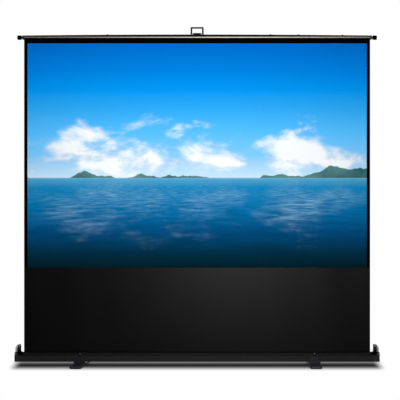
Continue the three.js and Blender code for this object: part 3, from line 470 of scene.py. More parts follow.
def finished_piece(name, work, edge_angle, *finish_list):
    bmesh.ops.recalc_face_normals(work, faces=work.faces)
    mesh = bpy.data.meshes.new(name)
    work.to_mesh(mesh)
    work.free()
    mesh.set_sharp_from_angle(angle=math.radians(edge_angle))
    for finish in finish_list:
        mesh.materials.append(finish)
    return linked(name, mesh)


def lathe(name, axis, middle, profile, sides=48, flutes=0, closed=False):
    work = bmesh.new()
    first, second = [a for a in (X_AXIS, Y_AXIS, Z_AXIS) if a != axis]
    rings = []
    for along, radius, *flute in profile:
        ring = []
        for step in range(sides):
            angle = 2 * math.pi * step / sides
            dip = flute[0] * (0.5 + 0.5 * math.cos(flutes * angle)) if flute else 0.0
            point = list(middle)
            point[axis] = along
            point[first] += (radius - dip) * math.cos(angle)
            point[second] += (radius - dip) * math.sin(angle)
            ring.append(work.verts.new(point))
        rings.append(ring)
    pairs = list(zip(rings, rings[1:])) + ([(rings[-1], rings[0])] if closed else [])
    for ring, following in pairs:
        for step in range(sides):
            beside = (step + 1) % sides
            work.faces.new((ring[step], ring[beside], following[beside], following[step])).smooth = True
    if not closed:
        work.faces.new(rings[0])
        work.faces.new(rings[-1])
    return finished_piece(name, work, ROUND_PIECE_EDGE_ANGLE)


def stands_for(piece, node, finish=None):
    piece.data.materials.append(finish or finishes[SLOT_OF[node]])
    takes_place(piece, node)


def round_place(node):
    low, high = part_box(node)
    return low, high, (low + high) / 2, (high.z - low.z) / 2 / MM


def turned(start, rows_mm, side=1):
    return [(start + side * along * MM, *(size * MM for size in sizes)) for along, *sizes in rows_mm]


print("edges sharper than this stay sharp, in degrees:", ROUND_PIECE_EDGE_ANGLE)

# %% [markdown]
# ## End knobs and thumb screws
# The bar ends in two rubbery knobs that drop into the horns and stop the bar from swinging. They
# have fine ribs for the fingers and a rounded nose. Over each foot a knurled thumb screw holds the
# bracket to the case. Its head has a raised rim, a groove and a low dome that catches the light.

# %% End knobs and thumb screws
KNOB_RIBS = 30
KNURL_TEETH = 40
KNOB_COLLAR = 6 * MM
for word, side in (("left", -1), ("right", 1)):
    low, high, middle, full = round_place(f"end_knob_{word}")
    near, far = (high.x, low.x) if side < 0 else (low.x, high.x)
    profile = turned(near, [(0, 5.2), (0.8, 6)], side)
    profile += turned(near + side * KNOB_COLLAR, [
        (-1.0, 6), (0, 7), (0, full - 2.5), (0.7, full - 0.8), (1.8, full), (4, full), (4.6, full, 0.8),
    ], side)
    profile += turned(far, [
        (-6.2, full, 0.8), (-5.6, full), (-3.4, full), (-1.6, full - 0.9), (-0.5, full - 2.6),
        (0, full - 5), (0, 5), (-1.2, 4.4), (-1.2, 0.5),
    ], side)
    knob = lathe(f"ribbed_knob_{word}", X_AXIS, middle, profile, sides=180, flutes=KNOB_RIBS)
    stands_for(knob, f"end_knob_{word}", horn_black)

    low, high, middle, full = round_place(f"foot_screw_{word}")
    profile = turned(low.y, [
        (0.3, 0.4), (0.45, 3), (0.9, 5.4), (1.6, 7.2), (1.7, 8.4), (0.6, 9.4), (0.1, 10), (0, 10.6),
        (0.4, 11.5), (1.2, full, 0.9), (5.8, full, 0.9), (6.6, full - 1.2), (7, full - 1.6), (7, 3),
    ])
    profile += turned(high.y, [(0, 3), (0, 0.5)])
    screw = lathe(f"knurled_screw_{word}", Y_AXIS, middle, profile, sides=160, flutes=KNURL_TEETH)
    stands_for(screw, f"foot_screw_{word}", screw_black)
print("teeth round each thumb screw:", KNURL_TEETH)

# %% [markdown]
# ## Pins, rods and tube
# The scissor turns on rivet-like pins: a low domed head in front, and behind it a washer with the
# end of the pin standing through. The guide rods are ground bar with chamfered ends, and the
# roller is a drawn aluminium tube, open at its ends for the motor and the idler plug.

# %% Pins, rods and tube
HEAD_MM = 2.4
CHAMFER_MM = 0.8
TUBE_WALL_MM = 1.5
PINS = [node for node in BODY_OF if node.endswith("_pin")]
for node in PINS:
    low, high, middle, full = round_place(node)
    profile = turned(low.y, [
        (0, 1.0), (0.15, 3.4), (0.7, 5.4), (1.5, 6.7), (2.1, full), (HEAD_MM, full), (HEAD_MM, 5),
    ])
    profile += turned(high.y, [
        (-HEAD_MM, 5), (-HEAD_MM, full), (-1.5, full), (-1.3, full - 0.3), (-1.3, 4.4), (-0.5, 4.4),
        (0, 3.8), (0, 0.5),
    ])
    stands_for(lathe(f"riveted_{node}", Y_AXIS, middle, profile, sides=32), node)
for node in ("lower_guide_rod", "upper_guide_rod"):
    low, high, middle, full = round_place(node)
    profile = turned(low.x, [(0, full - CHAMFER_MM), (CHAMFER_MM, full)])
    profile += turned(high.x, [(-CHAMFER_MM, full), (0, full - CHAMFER_MM)])
    stands_for(lathe(f"ground_{node}", X_AXIS, middle, profile, sides=32), node)
low, high, middle, full = round_place("roller_tube")
outside, inside = [(0, full)], [(0, full - TUBE_WALL_MM)]
profile = turned(low.x, outside) + turned(high.x, outside + inside) + turned(low.x, inside)
stands_for(lathe("drawn_roller_tube", X_AXIS, middle, profile, sides=64, closed=True), "roller_tube")
print("pins:", len(PINS))

# %% [markdown]
# The few pieces that are left are inside the case. They keep their shape and get their finish.

# %% Skeleton pieces that stay
replaced = set(EDGE_RADII_MM) | set(PINS) | set(COVERS) | set(END_CAPS) | {
    "top_bar", "pull_handle", "case_base", "end_knob_left", "end_knob_right", "foot_screw_left",
    "foot_screw_right", "lower_guide_rod", "upper_guide_rod", "roller_tube",
}
for node in frame["nodes"]:
    if node not in replaced and SLOT_OF[node] in finishes:
        data = frame["nodes"][node].data
        data.materials.clear()
        data.materials.append(finishes[SLOT_OF[node]])
print("pieces replaced so far:", len(replaced))

# %% [markdown]
# ## What is on the screen
# A projection cloth is matt white vinyl with a black border, and a long black drop below the
# picture lifts it to eye height. Here a generic seaside view is projected on it: a deep blue sky,
# fair-weather clouds, a low coast and open water. It could be a picture file. Nodes that paint it
# need no file and stay sharp, and they read the cloth's own UV map, so that the view stays on the
# cloth when the cloth is wound in.

# %% Places on the cloth
CLOTH_LOW, CLOTH_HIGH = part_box("screen_cloth")
CLOTH_WIDTH = CLOTH_HIGH.x - CLOTH_LOW.x
CLOTH_HEIGHT = CLOTH_HIGH.z - CLOTH_LOW.z
PICTURE_BOTTOM = 0.611
PICTURE_TOP = 2.012
PICTURE_HALF_WIDTH = 1.0595
SEA_HORIZON = 0.4


def blend_colour(tree, factor, under, over):
    node = add_node(tree, "ShaderNodeMix", data_type="RGBA", clamp_factor=True)
    tree.links.new(factor, node.inputs["Factor"])
    for socket, value in (("A", under), ("B", over)):
        target = [s for s in node.inputs if s.name == socket and s.type == "RGBA"][0]
        if isinstance(value, tuple):
            target.default_value = value
        else:
            tree.links.new(value, target)
    return [s for s in node.outputs if s.type == "RGBA"][0]


def flat_vector(tree, x, y=None):
    links = {"X": x} if y is None else {"X": x, "Y": y}
    return add_node(tree, "ShaderNodeCombineXYZ", links=links).outputs["Vector"]


def levels(tree, factor, stops):
    return add_ramp(tree, factor, [(stop, grey(level)) for stop, level in stops])


print("picture diagonal in m:", round(math.hypot(2 * PICTURE_HALF_WIDTH, PICTURE_TOP - PICTURE_BOTTOM), 2))

# %% [markdown]
# ## The seaside view
# The sky and the water are two gradients that meet at the horizon, and the coast is a low ridge
# of noise that stands on it, in two hazy greens.

# %% Colours of the view
SKY_AND_SEA = [
    (0.0, "#04191f"), (0.07, "#032f45"), (0.16, "#034e80"), (0.27, "#0578b4"), (0.36, "#1a90cb"),
    (SEA_HORIZON - 0.002, "#5ab4e0"), (SEA_HORIZON + 0.002, "#c3e2f5"), (0.5, "#7cc8fa"),
    (0.6, "#55bbfa"), (0.7, "#30a6ee"), (0.79, "#0293ea"), (0.88, "#017dd9"), (1.0, "#0168c4"),
]
CLOUD_BANK = [(SEA_HORIZON, 0.1), (0.47, 0.24), (0.56, 0.17), (0.7, 0.03), (1.0, 0.0)]
CLOUD_CEILING = [(0.66, 1.0), (0.8, 0.0)]
CLOUD_FLATNESS = 2.6
CLOUD_EDGES = (0.62, 0.8)
MIRRORED_CLOUD_EDGES = (0.6, 0.95)
CLOUD_SHADE, CLOUD_LIGHT = linear("#9dbdd8"), linear("#f4f8fb")
CREST_COLOUR, TROUGH_COLOUR = linear("#a9d3ea"), linear("#022538")
COAST_SHADE, COAST_LIGHT = linear("#2b5a63"), linear("#5d8a8c")
COAST_LEVEL, COAST_HEIGHT = 0.47, 0.32
print("colours in the sky and the water:", len(SKY_AND_SEA))

# %% [markdown]
# Clouds could be modelled as mist, but a flat picture needs only their outline: a noise that is
# stretched sideways and kept near the horizon. The same clouds are mirrored, weaker, in the water.
# Its ripples get finer towards the horizon, because the noise is read in perspective.

# %% Clouds and water
NEAREST_DEPTH = 0.004
MIRROR_SHARE = 0.9
RIPPLES_ACROSS, RIPPLES_DEEP, FARTHEST = 1.5, 1.6, 0.02
SHINE, DARKNESS = 0.75, 0.35


def cloud_cover(tree, across, up, edges):
    where = flat_vector(tree, across, times(tree, up, CLOUD_FLATNESS))
    billows = noise(tree, where, 2.3, 9.0, roughness=0.56, distortion=0.25)
    thick = calc(tree, "ADD", billows, levels(tree, up, CLOUD_BANK))
    return spread(tree, thick, *edges, interpolation_type="SMOOTHSTEP"), billows


def water(tree, across, up, view, below):
    depth = calc(tree, "MAXIMUM", calc(tree, "SUBTRACT", SEA_HORIZON, up), NEAREST_DEPTH)
    mirrored_up = calc(tree, "ADD", SEA_HORIZON, times(tree, depth, MIRROR_SHARE))
    reflected, _ = cloud_cover(tree, across, mirrored_up, MIRRORED_CLOUD_EDGES)
    run = calc(tree, "DIVIDE", across, times(tree, depth, RIPPLES_ACROSS))
    rows = calc(tree, "DIVIDE", RIPPLES_DEEP, calc(tree, "ADD", depth, FARTHEST))
    ripples = noise(tree, flat_vector(tree, run, rows), 1.6, 4.0, roughness=0.6)
    crests = levels(tree, ripples, [(0.35, 0.0), (0.75, 1.0)])
    view = blend_colour(tree, times(tree, reflected, crests, SHINE, below), view, CREST_COLOUR)
    troughs = times(tree, calc(tree, "SUBTRACT", 1.0, crests), DARKNESS, below)
    return blend_colour(tree, troughs, view, TROUGH_COLOUR)


print("clouds reach up to, as a share of the picture:", CLOUD_CEILING[-1][0])


# %% The whole view
def seaside_view(tree, across, up):
    view = add_ramp(tree, up, [(stop, linear(colour)) for stop, colour in SKY_AND_SEA])
    cover, billows = cloud_cover(tree, across, up, CLOUD_EDGES)
    over_sea = calc(tree, "GREATER_THAN", up, SEA_HORIZON)
    clouds = times(tree, cover, levels(tree, up, CLOUD_CEILING), over_sea)
    cloud_colour = add_ramp(tree, billows, [(0.42, CLOUD_SHADE), (0.56, CLOUD_LIGHT)])
    view = blend_colour(tree, clouds, view, cloud_colour)
    view = water(tree, across, up, view, calc(tree, "SUBTRACT", 1.0, over_sea))
    shore = noise(tree, flat_vector(tree, across), 1.7, 6.0, roughness=0.5)
    ridge = calc(tree, "MULTIPLY_ADD", calc(tree, "SUBTRACT", shore, COAST_LEVEL), COAST_HEIGHT, SEA_HORIZON)
    coast = times(tree, calc(tree, "LESS_THAN", up, ridge), over_sea)
    return blend_colour(tree, coast, view, add_ramp(tree, billows, [(0.35, COAST_SHADE), (0.6, COAST_LIGHT)]))


print("the sea's share of the picture:", SEA_HORIZON)

# %% [markdown]
# ## Matt screen vinyl
# The face is a matt white vinyl on woven glass, and its border is printed matt black. The weave
# has a thread about every 0.6 mm, which shows only close up, so bump is enough for it. The black
# drop has a faint sheen, except in the slot, where the sheen is faded out by height as a painted
# shade of the case. The back is a coarser black weave.

# %% Cloth materials
FACE_THREAD_MM = 0.6
BACK_THREAD_MM = 0.8
WAVE_BANDS_PER_UNIT = 20
SIDE_DIMMING = 0.15
# Painted shade: between these heights the drop's sheen fades out, where the case shades the slot.
SLOT_SHADE = (0.0850, 0.0880)
DROP_SHEEN = 0.0145


def weave(tree, place, thread_mm, strength):
    waves = []
    for direction in ("X", "Z"):
        wave = add_node(tree, "ShaderNodeTexWave", {
            "Scale": 1 / (thread_mm * MM) / WAVE_BANDS_PER_UNIT, "Distortion": 0.0,
        }, {"Vector": place}, bands_direction=direction)
        waves.append(wave.outputs["Fac"])
    return bumps(tree, times(tree, *waves), strength, 0.05)


def screen_face_material():
    material, tree, shader, place = new_material("matt_screen_vinyl")
    uv = add_node(tree, "ShaderNodeUVMap", uv_map="cloth").outputs["UV"]
    parts = add_node(tree, "ShaderNodeSeparateXYZ", links={"Vector": uv}).outputs
    across = times(tree, calc(tree, "SUBTRACT", parts["X"], 0.5), CLOTH_WIDTH)
    height = calc(tree, "MULTIPLY_ADD", parts["Y"], CLOTH_HEIGHT, CLOTH_LOW.z)
    above_bottom = calc(tree, "SUBTRACT", height, PICTURE_BOTTOM)
    up = calc(tree, "DIVIDE", above_bottom, PICTURE_TOP - PICTURE_BOTTOM)
    inside_sides = calc(tree, "LESS_THAN", calc(tree, "ABSOLUTE", across), PICTURE_HALF_WIDTH)
    inside_rows = calc(tree, "LESS_THAN", calc(tree, "ABSOLUTE", calc(tree, "SUBTRACT", up, 0.5)), 0.5)
    inside = times(tree, inside_sides, inside_rows)
    off_middle = calc(tree, "DIVIDE", across, PICTURE_HALF_WIDTH)
    dimmed = times(tree, off_middle, off_middle, SIDE_DIMMING)
    picture = blend_colour(tree, dimmed, seaside_view(tree, across, up), grey(0.0))
    fill(tree, shader, {"Roughness": 0.95, "Specular IOR Level": 0.0}, {
        "Base Color": blend_colour(tree, inside, linear("#030303"), picture),
        "Normal": weave(tree, place, FACE_THREAD_MM, 0.2),
    })
    return material


def black_drop_material():
    material, tree, shader, place = new_material("black_screen_vinyl")
    drift = noise(tree, place, 4.0, 4.0)
    height = add_node(tree, "ShaderNodeSeparateXYZ", links={"Vector": place}).outputs["Z"]
    fill(tree, shader, {"Roughness": 0.38}, {
        "Base Color": add_ramp(tree, drift, [(0.3, linear("#020202")), (0.7, linear("#040404"))]),
        "Specular IOR Level": spread(tree, height, *SLOT_SHADE, 0.0, DROP_SHEEN),
        "Normal": weave(tree, place, FACE_THREAD_MM, 0.1),
    })
    return material


def black_backing_material():
    material, tree, shader, place = new_material("black_woven_backing")
    drift = noise(tree, place, 6.0, 5.0)
    fill(tree, shader, {"Roughness": 0.75, "Specular IOR Level": 0.1}, {
        "Base Color": add_ramp(tree, drift, [(0.3, linear("#0b0b0c")), (0.7, linear("#131314"))]),
        "Normal": weave(tree, place, BACK_THREAD_MM, 0.4),
    })
    return material


screen_face = screen_face_material()
black_drop = black_drop_material()
black_backing = black_backing_material()
print("cloth materials:", screen_face.name, black_drop.name, black_backing.name)

# %% [markdown]
# ## The cloth itself
# The cloth is 0.6 mm thick and hangs between the roller and the bar, pulled taut by the lift. Even
# a taut cloth isn't a ruled plane: it has faint upright waves, strongest at mid-height near its
# free sides. Below the bar the clamp strip keeps it flat. A cloth simulation could make the waves,
# but a sine is the same in every run. The mesh is a fine grid of quads with a front and a back,
# closed round its edges.

# %% Cloth mesh
CLOTH_COLUMNS = 140
CLOTH_ROWS = 100
DROP_ROWS = 28
WAVE_HEIGHT = 1.2 * MM
WAVE_LENGTH = 0.31
WAVE_TOP = 1.6
CLOTH_EDGE_ANGLE = 50
FACE_FINISH, BACK_FINISH, DROP_FINISH = 0, 1, 2


def cloth_wave(x, z):
    share = (z - CLOTH_LOW.z) / (WAVE_TOP - CLOTH_LOW.z)
    between_ends = math.sin(math.pi * share) ** 0.7 if 0 < share < 1 else 0.0
    towards_side = abs(x) / (CLOTH_WIDTH / 2)
    ripple = math.sin(2 * math.pi * x / WAVE_LENGTH + 1.4 * math.sin(2.2 * z))
    return WAVE_HEIGHT * between_ends * towards_side ** 2 * ripple


def row_height(row):
    if row <= DROP_ROWS:
        return CLOTH_LOW.z + (PICTURE_BOTTOM - CLOTH_LOW.z) * row / DROP_ROWS
    return PICTURE_BOTTOM + (CLOTH_HIGH.z - PICTURE_BOTTOM) * (row - DROP_ROWS) / (CLOTH_ROWS - DROP_ROWS)


def projection_cloth():
    work = bmesh.new()
    uv_layer = work.loops.layers.uv.new("cloth")
    columns = [CLOTH_LOW.x + CLOTH_WIDTH * column / CLOTH_COLUMNS for column in range(CLOTH_COLUMNS + 1)]
    rows = [row_height(row) for row in range(CLOTH_ROWS + 1)]
    front, back = [
        [[work.verts.new((x, y + cloth_wave(x, z), z)) for x in columns] for z in rows]
        for y in (CLOTH_LOW.y, CLOTH_HIGH.y)
    ]
    for row in range(CLOTH_ROWS):
        facing_room = DROP_FINISH if row < DROP_ROWS else FACE_FINISH
        for column in range(CLOTH_COLUMNS):
            for grid, finish in ((front, facing_room), (back, BACK_FINISH)):
                corners = grid[row][column:column + 2] + grid[row + 1][column:column + 2][::-1]
                if grid is back:
                    corners.reverse()
                work.faces.new(corners).material_index = finish
    rim = [(0, c) for c in range(CLOTH_COLUMNS)] + [(r, CLOTH_COLUMNS) for r in range(CLOTH_ROWS)]
    rim += [(CLOTH_ROWS, c) for c in range(CLOTH_COLUMNS, 0, -1)]
    rim += [(r, 0) for r in range(CLOTH_ROWS, 0, -1)]
    for (row, column), (next_row, next_column) in zip(rim, rim[1:] + rim[:1]):
        here = (front[row][column], back[row][column])
        there = (back[next_row][next_column], front[next_row][next_column])
        work.faces.new(here + there).material_index = BACK_FINISH
    for face in work.faces:
        face.smooth = True
        for loop in face.loops:
            x, _, z = loop.vert.co
            loop[uv_layer].uv = ((x - CLOTH_LOW.x) / CLOTH_WIDTH, (z - CLOTH_LOW.z) / CLOTH_HEIGHT)
    finish_list = (screen_face, black_backing, black_drop)
    return finished_piece("projection_cloth", work, CLOTH_EDGE_ANGLE, *finish_list)


cloth = projection_cloth()
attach(cloth, "case")
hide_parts("screen_cloth")
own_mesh(cloth)
print("cloth faces:", len(cloth.data.polygons))

# %% [markdown]
# ## The turns left on the roller
# With the screen up, the last turns of cloth stay on the roller, so that the pull never reaches
# the place where the cloth is fixed to it. Seen along the slot they are a tight spiral.

# %% Wound cloth
WOUND_LOW, WOUND_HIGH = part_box("wound_cloth")
ROLLER_MIDDLE = (WOUND_LOW + WOUND_HIGH) / 2
TURNS = 2.0
TURN_STEPS = 48
CLOTH_THICKNESS = 0.5 * MM
FIRST_RADIUS = 18.7 * MM
TURN_GROWTH = 0.6 * MM


def wound_turns():
    work = bmesh.new()
    rings = []
    for step in range(int(TURNS * TURN_STEPS) + 1):
        turn = step / TURN_STEPS
        angle = 2 * math.pi * turn
        middle = FIRST_RADIUS + TURN_GROWTH * turn
        ring = []
        for radius in (middle - CLOTH_THICKNESS / 2, middle + CLOTH_THICKNESS / 2):
            y = ROLLER_MIDDLE.y + radius * math.cos(angle)
            z = ROLLER_MIDDLE.z + radius * math.sin(angle)
            ring += [work.verts.new((x, y, z)) for x in (WOUND_LOW.x, WOUND_HIGH.x)]
        rings.append(ring)
    for first, second in zip(rings, rings[1:]):
        for a, b in ((0, 1), (1, 3), (3, 2), (2, 0)):
            work.faces.new((first[a], first[b], second[b], second[a])).smooth = True
    for ring in (rings[0], rings[-1]):
        work.faces.new((ring[0], ring[1], ring[3], ring[2]))
    return finished_piece("wound_turns", work, ROUND_PIECE_EDGE_ANGLE, black_backing)


wound = wound_turns()
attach(wound, "roller")
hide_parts("wound_cloth")

# %% [markdown]
# ## The lift spring
# The spring that helps the bar up is a wound wire on the lower guide rod. A coil follows a path,
# so a Geometry Nodes tree makes it: a helix, a round wire swept along it, and the finish. Its
# turns are the number that still fits when the screen is down and the spring is pressed short.

# %% Spring tree
SPRING_LOW, SPRING_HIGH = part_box("lift_spring")
WIRE_RADIUS = 1.1 * MM
SPRING_TURNS = 50


def begin_tree(name, numbers, takes_points=False):
    tree = bpy.data.node_groups.new(name, "GeometryNodeTree")
    if takes_points:
        tree.interface.new_socket("Geometry", in_out="INPUT", socket_type="NodeSocketGeometry")
    tree.interface.new_socket("Geometry", in_out="OUTPUT", socket_type="NodeSocketGeometry")
    for number in numbers:
        tree.interface.new_socket(number, in_out="INPUT", socket_type="NodeSocketFloat")
    tree.interface.new_socket("Finish", in_out="INPUT", socket_type="NodeSocketMaterial")
    return tree, add_node(tree, "NodeGroupInput").outputs


def end_tree(tree, made, finish):
    real = add_node(tree, "GeometryNodeRealizeInstances", links={"Geometry": made})
    links = {"Geometry": real.outputs["Geometry"], "Material": finish}
    finished = add_node(tree, "GeometryNodeSetMaterial", links=links)
    add_node(tree, "NodeGroupOutput", links={"Geometry": finished.outputs["Geometry"]})
    return tree


def spring_tree():
    tree, inputs = begin_tree("wound_spring", ("Turns", "Coil Radius", "Length", "Wire Radius"))
    helix = add_node(tree, "GeometryNodeCurveSpiral", {"Resolution": 14}, {
        "Rotations": inputs["Turns"], "Start Radius": inputs["Coil Radius"],
        "End Radius": inputs["Coil Radius"], "Height": inputs["Length"],
    })
    wire = add_node(tree, "GeometryNodeCurvePrimitiveCircle", {"Resolution": 8}, {
        "Radius": inputs["Wire Radius"],
    })
    swept = add_node(tree, "GeometryNodeCurveToMesh", {"Fill Caps": True}, {
        "Curve": helix.outputs["Curve"], "Profile Curve": wire.outputs["Curve"],
    })
    return end_tree(tree, swept.outputs["Mesh"], inputs["Finish"])


def made_by_nodes(name, tree, values, places=()):
    mesh = bpy.data.meshes.new(f"{name}_holder")
    mesh.from_pydata([place for place, _ in places], [], [])
    facing = mesh.attributes.new("facing", "FLOAT_VECTOR", "POINT")
    for row, (_, direction) in zip(facing.data, places):
        row.vector = direction
    holder = linked(f"{name}_holder", mesh)
    modifier = holder.modifiers.new("nodes", "NODES")
    modifier.node_group = tree
    for item in tree.interface.items_tree:
        if item.in_out == "INPUT" and item.name in values:
            modifier[item.identifier] = values[item.name]
    bpy.context.view_layer.update()
    evaluated = holder.evaluated_get(bpy.context.evaluated_depsgraph_get())
    mesh = bpy.data.meshes.new_from_object(evaluated)
    bpy.data.objects.remove(holder)
    return linked(name, mesh)


spring = made_by_nodes("wound_lift_spring", spring_tree(), {
    "Turns": float(SPRING_TURNS), "Coil Radius": (SPRING_HIGH.y - SPRING_LOW.y) / 2 - WIRE_RADIUS,
    "Length": SPRING_HIGH.x - SPRING_LOW.x - 2 * WIRE_RADIUS, "Wire Radius": WIRE_RADIUS,
    "Finish": finishes["spring_steel"],
})
spring_middle = (SPRING_LOW + SPRING_HIGH) / 2
for vertex in spring.data.vertices:
    x, y, z = vertex.co
    vertex.co = (SPRING_LOW.x + WIRE_RADIUS + z, spring_middle.y + x, spring_middle.z + y)
spring.data.shade_smooth()
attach(spring, "case")
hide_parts("lift_spring")
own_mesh(spring)
print("spring faces:", len(spring.data.polygons))

# %% [markdown]
# ## Small screws
# Button-head screws with a hexagon socket hold the covers, the panel and the bar's fittings. One
# Geometry Nodes tree makes the head once, cuts its socket, and puts it wherever the holder mesh
# has a point, turned to the direction that the point carries. Every body gets its own mesh.

# %% Screw tree
HEAD_SIDES = 24
CROWN_SHARE = 0.72
SOCKET_SHARE = 0.45


def moved_up(tree, geometry, height):
    up = add_node(tree, "ShaderNodeCombineXYZ", links={"Z": height}).outputs["Vector"]
    links = {"Geometry": geometry, "Translation": up}
    return add_node(tree, "GeometryNodeTransform", links=links).outputs["Geometry"]


def screw_tree():
    tree, inputs = begin_tree(
        "button_head_screws", ("Head Radius", "Head Height", "Socket Radius"), takes_points=True)
    half = times(tree, inputs["Head Height"], 0.5)
    crown_radius = times(tree, inputs["Head Radius"], CROWN_SHARE)
    collar = add_node(tree, "GeometryNodeMeshCylinder", {"Vertices": HEAD_SIDES}, {
        "Radius": inputs["Head Radius"], "Depth": inputs["Head Height"],
    })
    crown = add_node(tree, "GeometryNodeMeshCone", {"Vertices": HEAD_SIDES}, {
        "Radius Bottom": inputs["Head Radius"], "Radius Top": crown_radius, "Depth": half,
    })
    raised = moved_up(tree, crown.outputs["Mesh"], half)
    socket = add_node(tree, "GeometryNodeMeshCylinder", {"Vertices": 6}, {
        "Radius": inputs["Socket Radius"], "Depth": inputs["Head Height"],
    })
    tool = moved_up(tree, socket.outputs["Mesh"], inputs["Head Height"])
    head = add_node(tree, "GeometryNodeMeshBoolean", operation="UNION")
    tree.links.new(raised, head.inputs["Mesh 2"])
    tree.links.new(collar.outputs["Mesh"], head.inputs["Mesh 2"])
    cut = add_node(tree, "GeometryNodeMeshBoolean", links={
        "Mesh 1": head.outputs["Mesh"], "Mesh 2": tool,
    }, operation="DIFFERENCE")
    facing = add_node(tree, "GeometryNodeInputNamedAttribute", {"Name": "facing"}, data_type="FLOAT_VECTOR")
    turn = add_node(tree, "FunctionNodeAlignRotationToVector", links={
        "Vector": facing.outputs["Attribute"],
    }, axis="Z")
    placed = add_node(tree, "GeometryNodeInstanceOnPoints", links={
        "Points": inputs["Geometry"], "Instance": cut.outputs["Mesh"], "Rotation": turn.outputs["Rotation"],
    })
    return end_tree(tree, placed.outputs["Instances"], inputs["Finish"])


SCREWS = screw_tree()
print("nodes in the screw tree:", len(SCREWS.nodes))

# %% [markdown]
# The places are read from the pieces that the screws hold: the back of the rear cover, the corners
# of the power panel, the bar's top over its rod plates, and the ends of the bar.


# %% Screws
def screws(name, body, slot, head_radius_mm, head_height_mm, places):
    piece = made_by_nodes(name, SCREWS, {
        "Head Radius": head_radius_mm * MM, "Head Height": head_height_mm * MM,
        "Socket Radius": head_radius_mm * SOCKET_SHARE * MM, "Finish": finishes[slot],
    }, places)
    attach(piece, body)
    print(name, len(places))


COVER_SCREWS_AT_X = (-0.93, -0.47, 0.0, 0.47, 0.93)
COVER_SCREWS_AT_Z = 0.0745
FROM_PANEL_EDGE = 4.5 * MM
BAR_SCREWS_AT_X = (-0.56, 0.46, 0.634, 0.91)
BEFORE_BAR_MIDDLE = 4 * MM
CROWN_RISE = 6 * MM
END_SCREWS_AT_Z = 2.0515
FROM_END_MIDDLE = 21 * MM

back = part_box("case_rear_cover")[1].y
rear_places = [((x, back, COVER_SCREWS_AT_Z), (0, 1, 0)) for x in COVER_SCREWS_AT_X]
low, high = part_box("power_panel")
rear_places += [((x, high.y, z), (0, 1, 0)) for x in (low.x + FROM_PANEL_EDGE, high.x - FROM_PANEL_EDGE)
                for z in (low.z + FROM_PANEL_EDGE, high.z - FROM_PANEL_EDGE)]
screws("case_screws", "case", "moulded_plastic", 2.6, 1.6, rear_places)

low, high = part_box("top_bar")
middle = (low.y + high.y) / 2
top_places = [((x, middle - BEFORE_BAR_MIDDLE, high.z - CROWN_RISE * (x / high.x) ** 2), (0, 0, 1))
              for x in BAR_SCREWS_AT_X]
screws("bar_top_screws", "top_bar", "moulded_plastic", 5.0, 5.0, top_places)
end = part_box("bar_end_cap_right")[1].x
end_places = [((side * end, middle + across, END_SCREWS_AT_Z), (side, 0, 0))
              for side in (-1, 1) for across in (-FROM_END_MIDDLE, FROM_END_MIDDLE)]
screws("bar_end_screws", "top_bar", "moulded_plastic", 2.6, 1.8, end_places)

# %% [markdown]
# ## Studio
# The object stands on a white floor in a white room. The room's light is even. The floor is white
# where nothing is near it, and two shades are laid on it. The first is a soft shadow, read from
# the distance to the case's outline, with a longer reach in front and behind than beside. The
# second is a tight contact shade from an Ambient Occlusion node, where something nearly touches.

# %% Floor and room
FLOOR_REACH = 14.0
SHADOW_HALF_LENGTH = 1.1
SHADOW_SPREAD = 0.08
SHADOW_FRONT = -0.05
SHADOW_BACK = 0.06
FADE_BESIDE = 0.077
FADE_AHEAD = 0.275
FADE_BEHIND = 0.38
SHADOW_STOPS = [(0.0, 0.06), (0.1, 0.09), (0.24, 0.165), (0.43, 0.4), (0.62, 0.65), (0.8, 0.89), (0.95, 1.0)]
CONTACT_REACH = 0.06
CONTACT_STOPS = [(0.2, 0.3), (0.55, 0.8), (0.8, 1.0)]
FLOOR_ALBEDO = 0.8
ROOM_LIGHT = 0.5


def seen_and_lighting(tree, seen_shader, lighting_shader, output_kind):
    rays = add_node(tree, "ShaderNodeLightPath").outputs
    reflected = calc(tree, "MAXIMUM", rays["Is Glossy Ray"], rays["Is Transmission Ray"])
    looked_at = calc(tree, "MAXIMUM", rays["Is Camera Ray"], reflected)
    mixed = add_node(tree, "ShaderNodeMixShader", links={"Fac": looked_at})
    tree.links.new(lighting_shader, mixed.inputs[1])
    tree.links.new(seen_shader, mixed.inputs[2])
    add_node(tree, output_kind, links={"Surface": mixed.outputs["Shader"]})


def faded(tree, distance, reach):
    return calc(tree, "DIVIDE", calc(tree, "MAXIMUM", distance, 0.0), reach)


def soft_shadow(tree, spot):
    behind_middle = calc(tree, "MAXIMUM", spot["Y"], 0.0)
    half_length = calc(tree, "MULTIPLY_ADD", behind_middle, SHADOW_SPREAD, SHADOW_HALF_LENGTH)
    beside = faded(tree, calc(tree, "SUBTRACT", calc(tree, "ABSOLUTE", spot["X"]), half_length), FADE_BESIDE)
    ahead = faded(tree, calc(tree, "SUBTRACT", SHADOW_FRONT, spot["Y"]), FADE_AHEAD)
    behind = faded(tree, calc(tree, "SUBTRACT", spot["Y"], SHADOW_BACK), FADE_BEHIND)
    along = calc(tree, "ADD", ahead, behind)
    along_squared = times(tree, along, along)
    away = calc(tree, "SQRT", calc(tree, "MULTIPLY_ADD", beside, beside, along_squared))
    return levels(tree, away, SHADOW_STOPS)


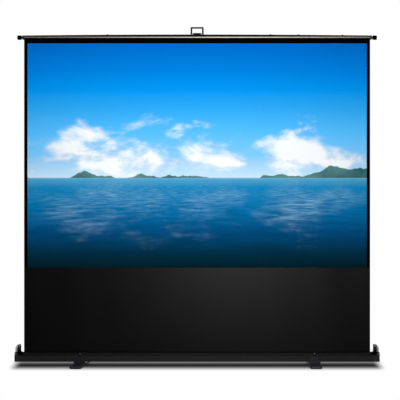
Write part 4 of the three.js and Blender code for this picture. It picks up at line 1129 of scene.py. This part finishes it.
def floor_material():
    material = bpy.data.materials.new("white_studio_floor")
    tree = bare_tree(material)
    place = add_node(tree, "ShaderNodeTexCoord").outputs["Object"]
    spot = add_node(tree, "ShaderNodeSeparateXYZ", links={"Vector": place}).outputs
    near = add_node(tree, "ShaderNodeAmbientOcclusion", {"Distance": CONTACT_REACH}, samples=16)
    contact = levels(tree, near.outputs["AO"], CONTACT_STOPS)
    shade = times(tree, soft_shadow(tree, spot), contact)
    seen = add_node(tree, "ShaderNodeEmission", {"Strength": 1.0}, {"Color": shade})
    lighting = add_node(tree, "ShaderNodeBsdfDiffuse", {"Color": grey(FLOOR_ALBEDO)})
    seen_and_lighting(tree, seen.outputs["Emission"], lighting.outputs["BSDF"], "ShaderNodeOutputMaterial")
    return material


def studio_floor():
    signs = ((-1, -1), (1, -1), (1, 1), (-1, 1))
    mesh = bpy.data.meshes.new("studio_floor")
    mesh.from_pydata([(FLOOR_REACH * x, FLOOR_REACH * y, 0) for x, y in signs], [], [(0, 1, 2, 3)])
    mesh.materials.append(floor_material())
    linked("studio_floor", mesh)


def studio_room():
    world = bpy.data.worlds.new("white_studio_room")
    bpy.context.scene.world = world
    tree = bare_tree(world)
    lighting = add_node(tree, "ShaderNodeBackground", {"Color": grey(1.0), "Strength": ROOM_LIGHT})
    backdrop = add_node(tree, "ShaderNodeBackground", {"Color": grey(1.0), "Strength": 1.0})
    shaders = backdrop.outputs["Background"], lighting.outputs["Background"]
    seen_and_lighting(tree, *shaders, "ShaderNodeOutputWorld")


studio_floor()
studio_room()
print("room light:", ROOM_LIGHT)

# %% [markdown]
# ## Lamps
# The lamps share the work. A broad softbox lights the cloth and keeps out of the reflections. The
# tall strip and the wide bar lamp are seen only in reflections: the strip draws the sheen in the
# middle of the black drop, the other the line of light along the bar. One lamp hangs overhead, and
# one behind the screen lights its back.


# %% Lamps
def lamp(name, place, target, size, power, lights=True, mirrors=True):
    data = bpy.data.lights.new(name, "AREA")
    data.shape = "RECTANGLE"
    data.size, data.size_y = size
    data.energy = power
    light = linked(name, data)
    light.location = place
    light.rotation_euler = (Vector(target) - Vector(place)).to_track_quat("-Z", "Y").to_euler()
    light.visible_camera = False
    light.visible_diffuse = lights
    light.visible_glossy = mirrors


STRIP_X = 0.33
lamp("key_softbox", (0, -4.0, 2.2), (0, 0, 1.1), (3.0, 2.0), 95, mirrors=False)
lamp("strip_lamp", (STRIP_X, -3.0, 1.15), (STRIP_X, 0, 1.15), (0.5, 1.4), 350, lights=False)
lamp("bar_lamp", (0.1, -3.0, 2.35), (0.1, 0, 2.05), (1.7, 0.35), 22, lights=False)
lamp("overhead_lamp", (0, -0.2, 5.0), (0, -0.2, 0), (0.8, 0.8), 60)
lamp("back_lamp", (0, 4.0, 2.0), (0, 0, 1.0), (2.5, 1.5), 60)
bpy.context.scene.view_settings.view_transform = "Standard"
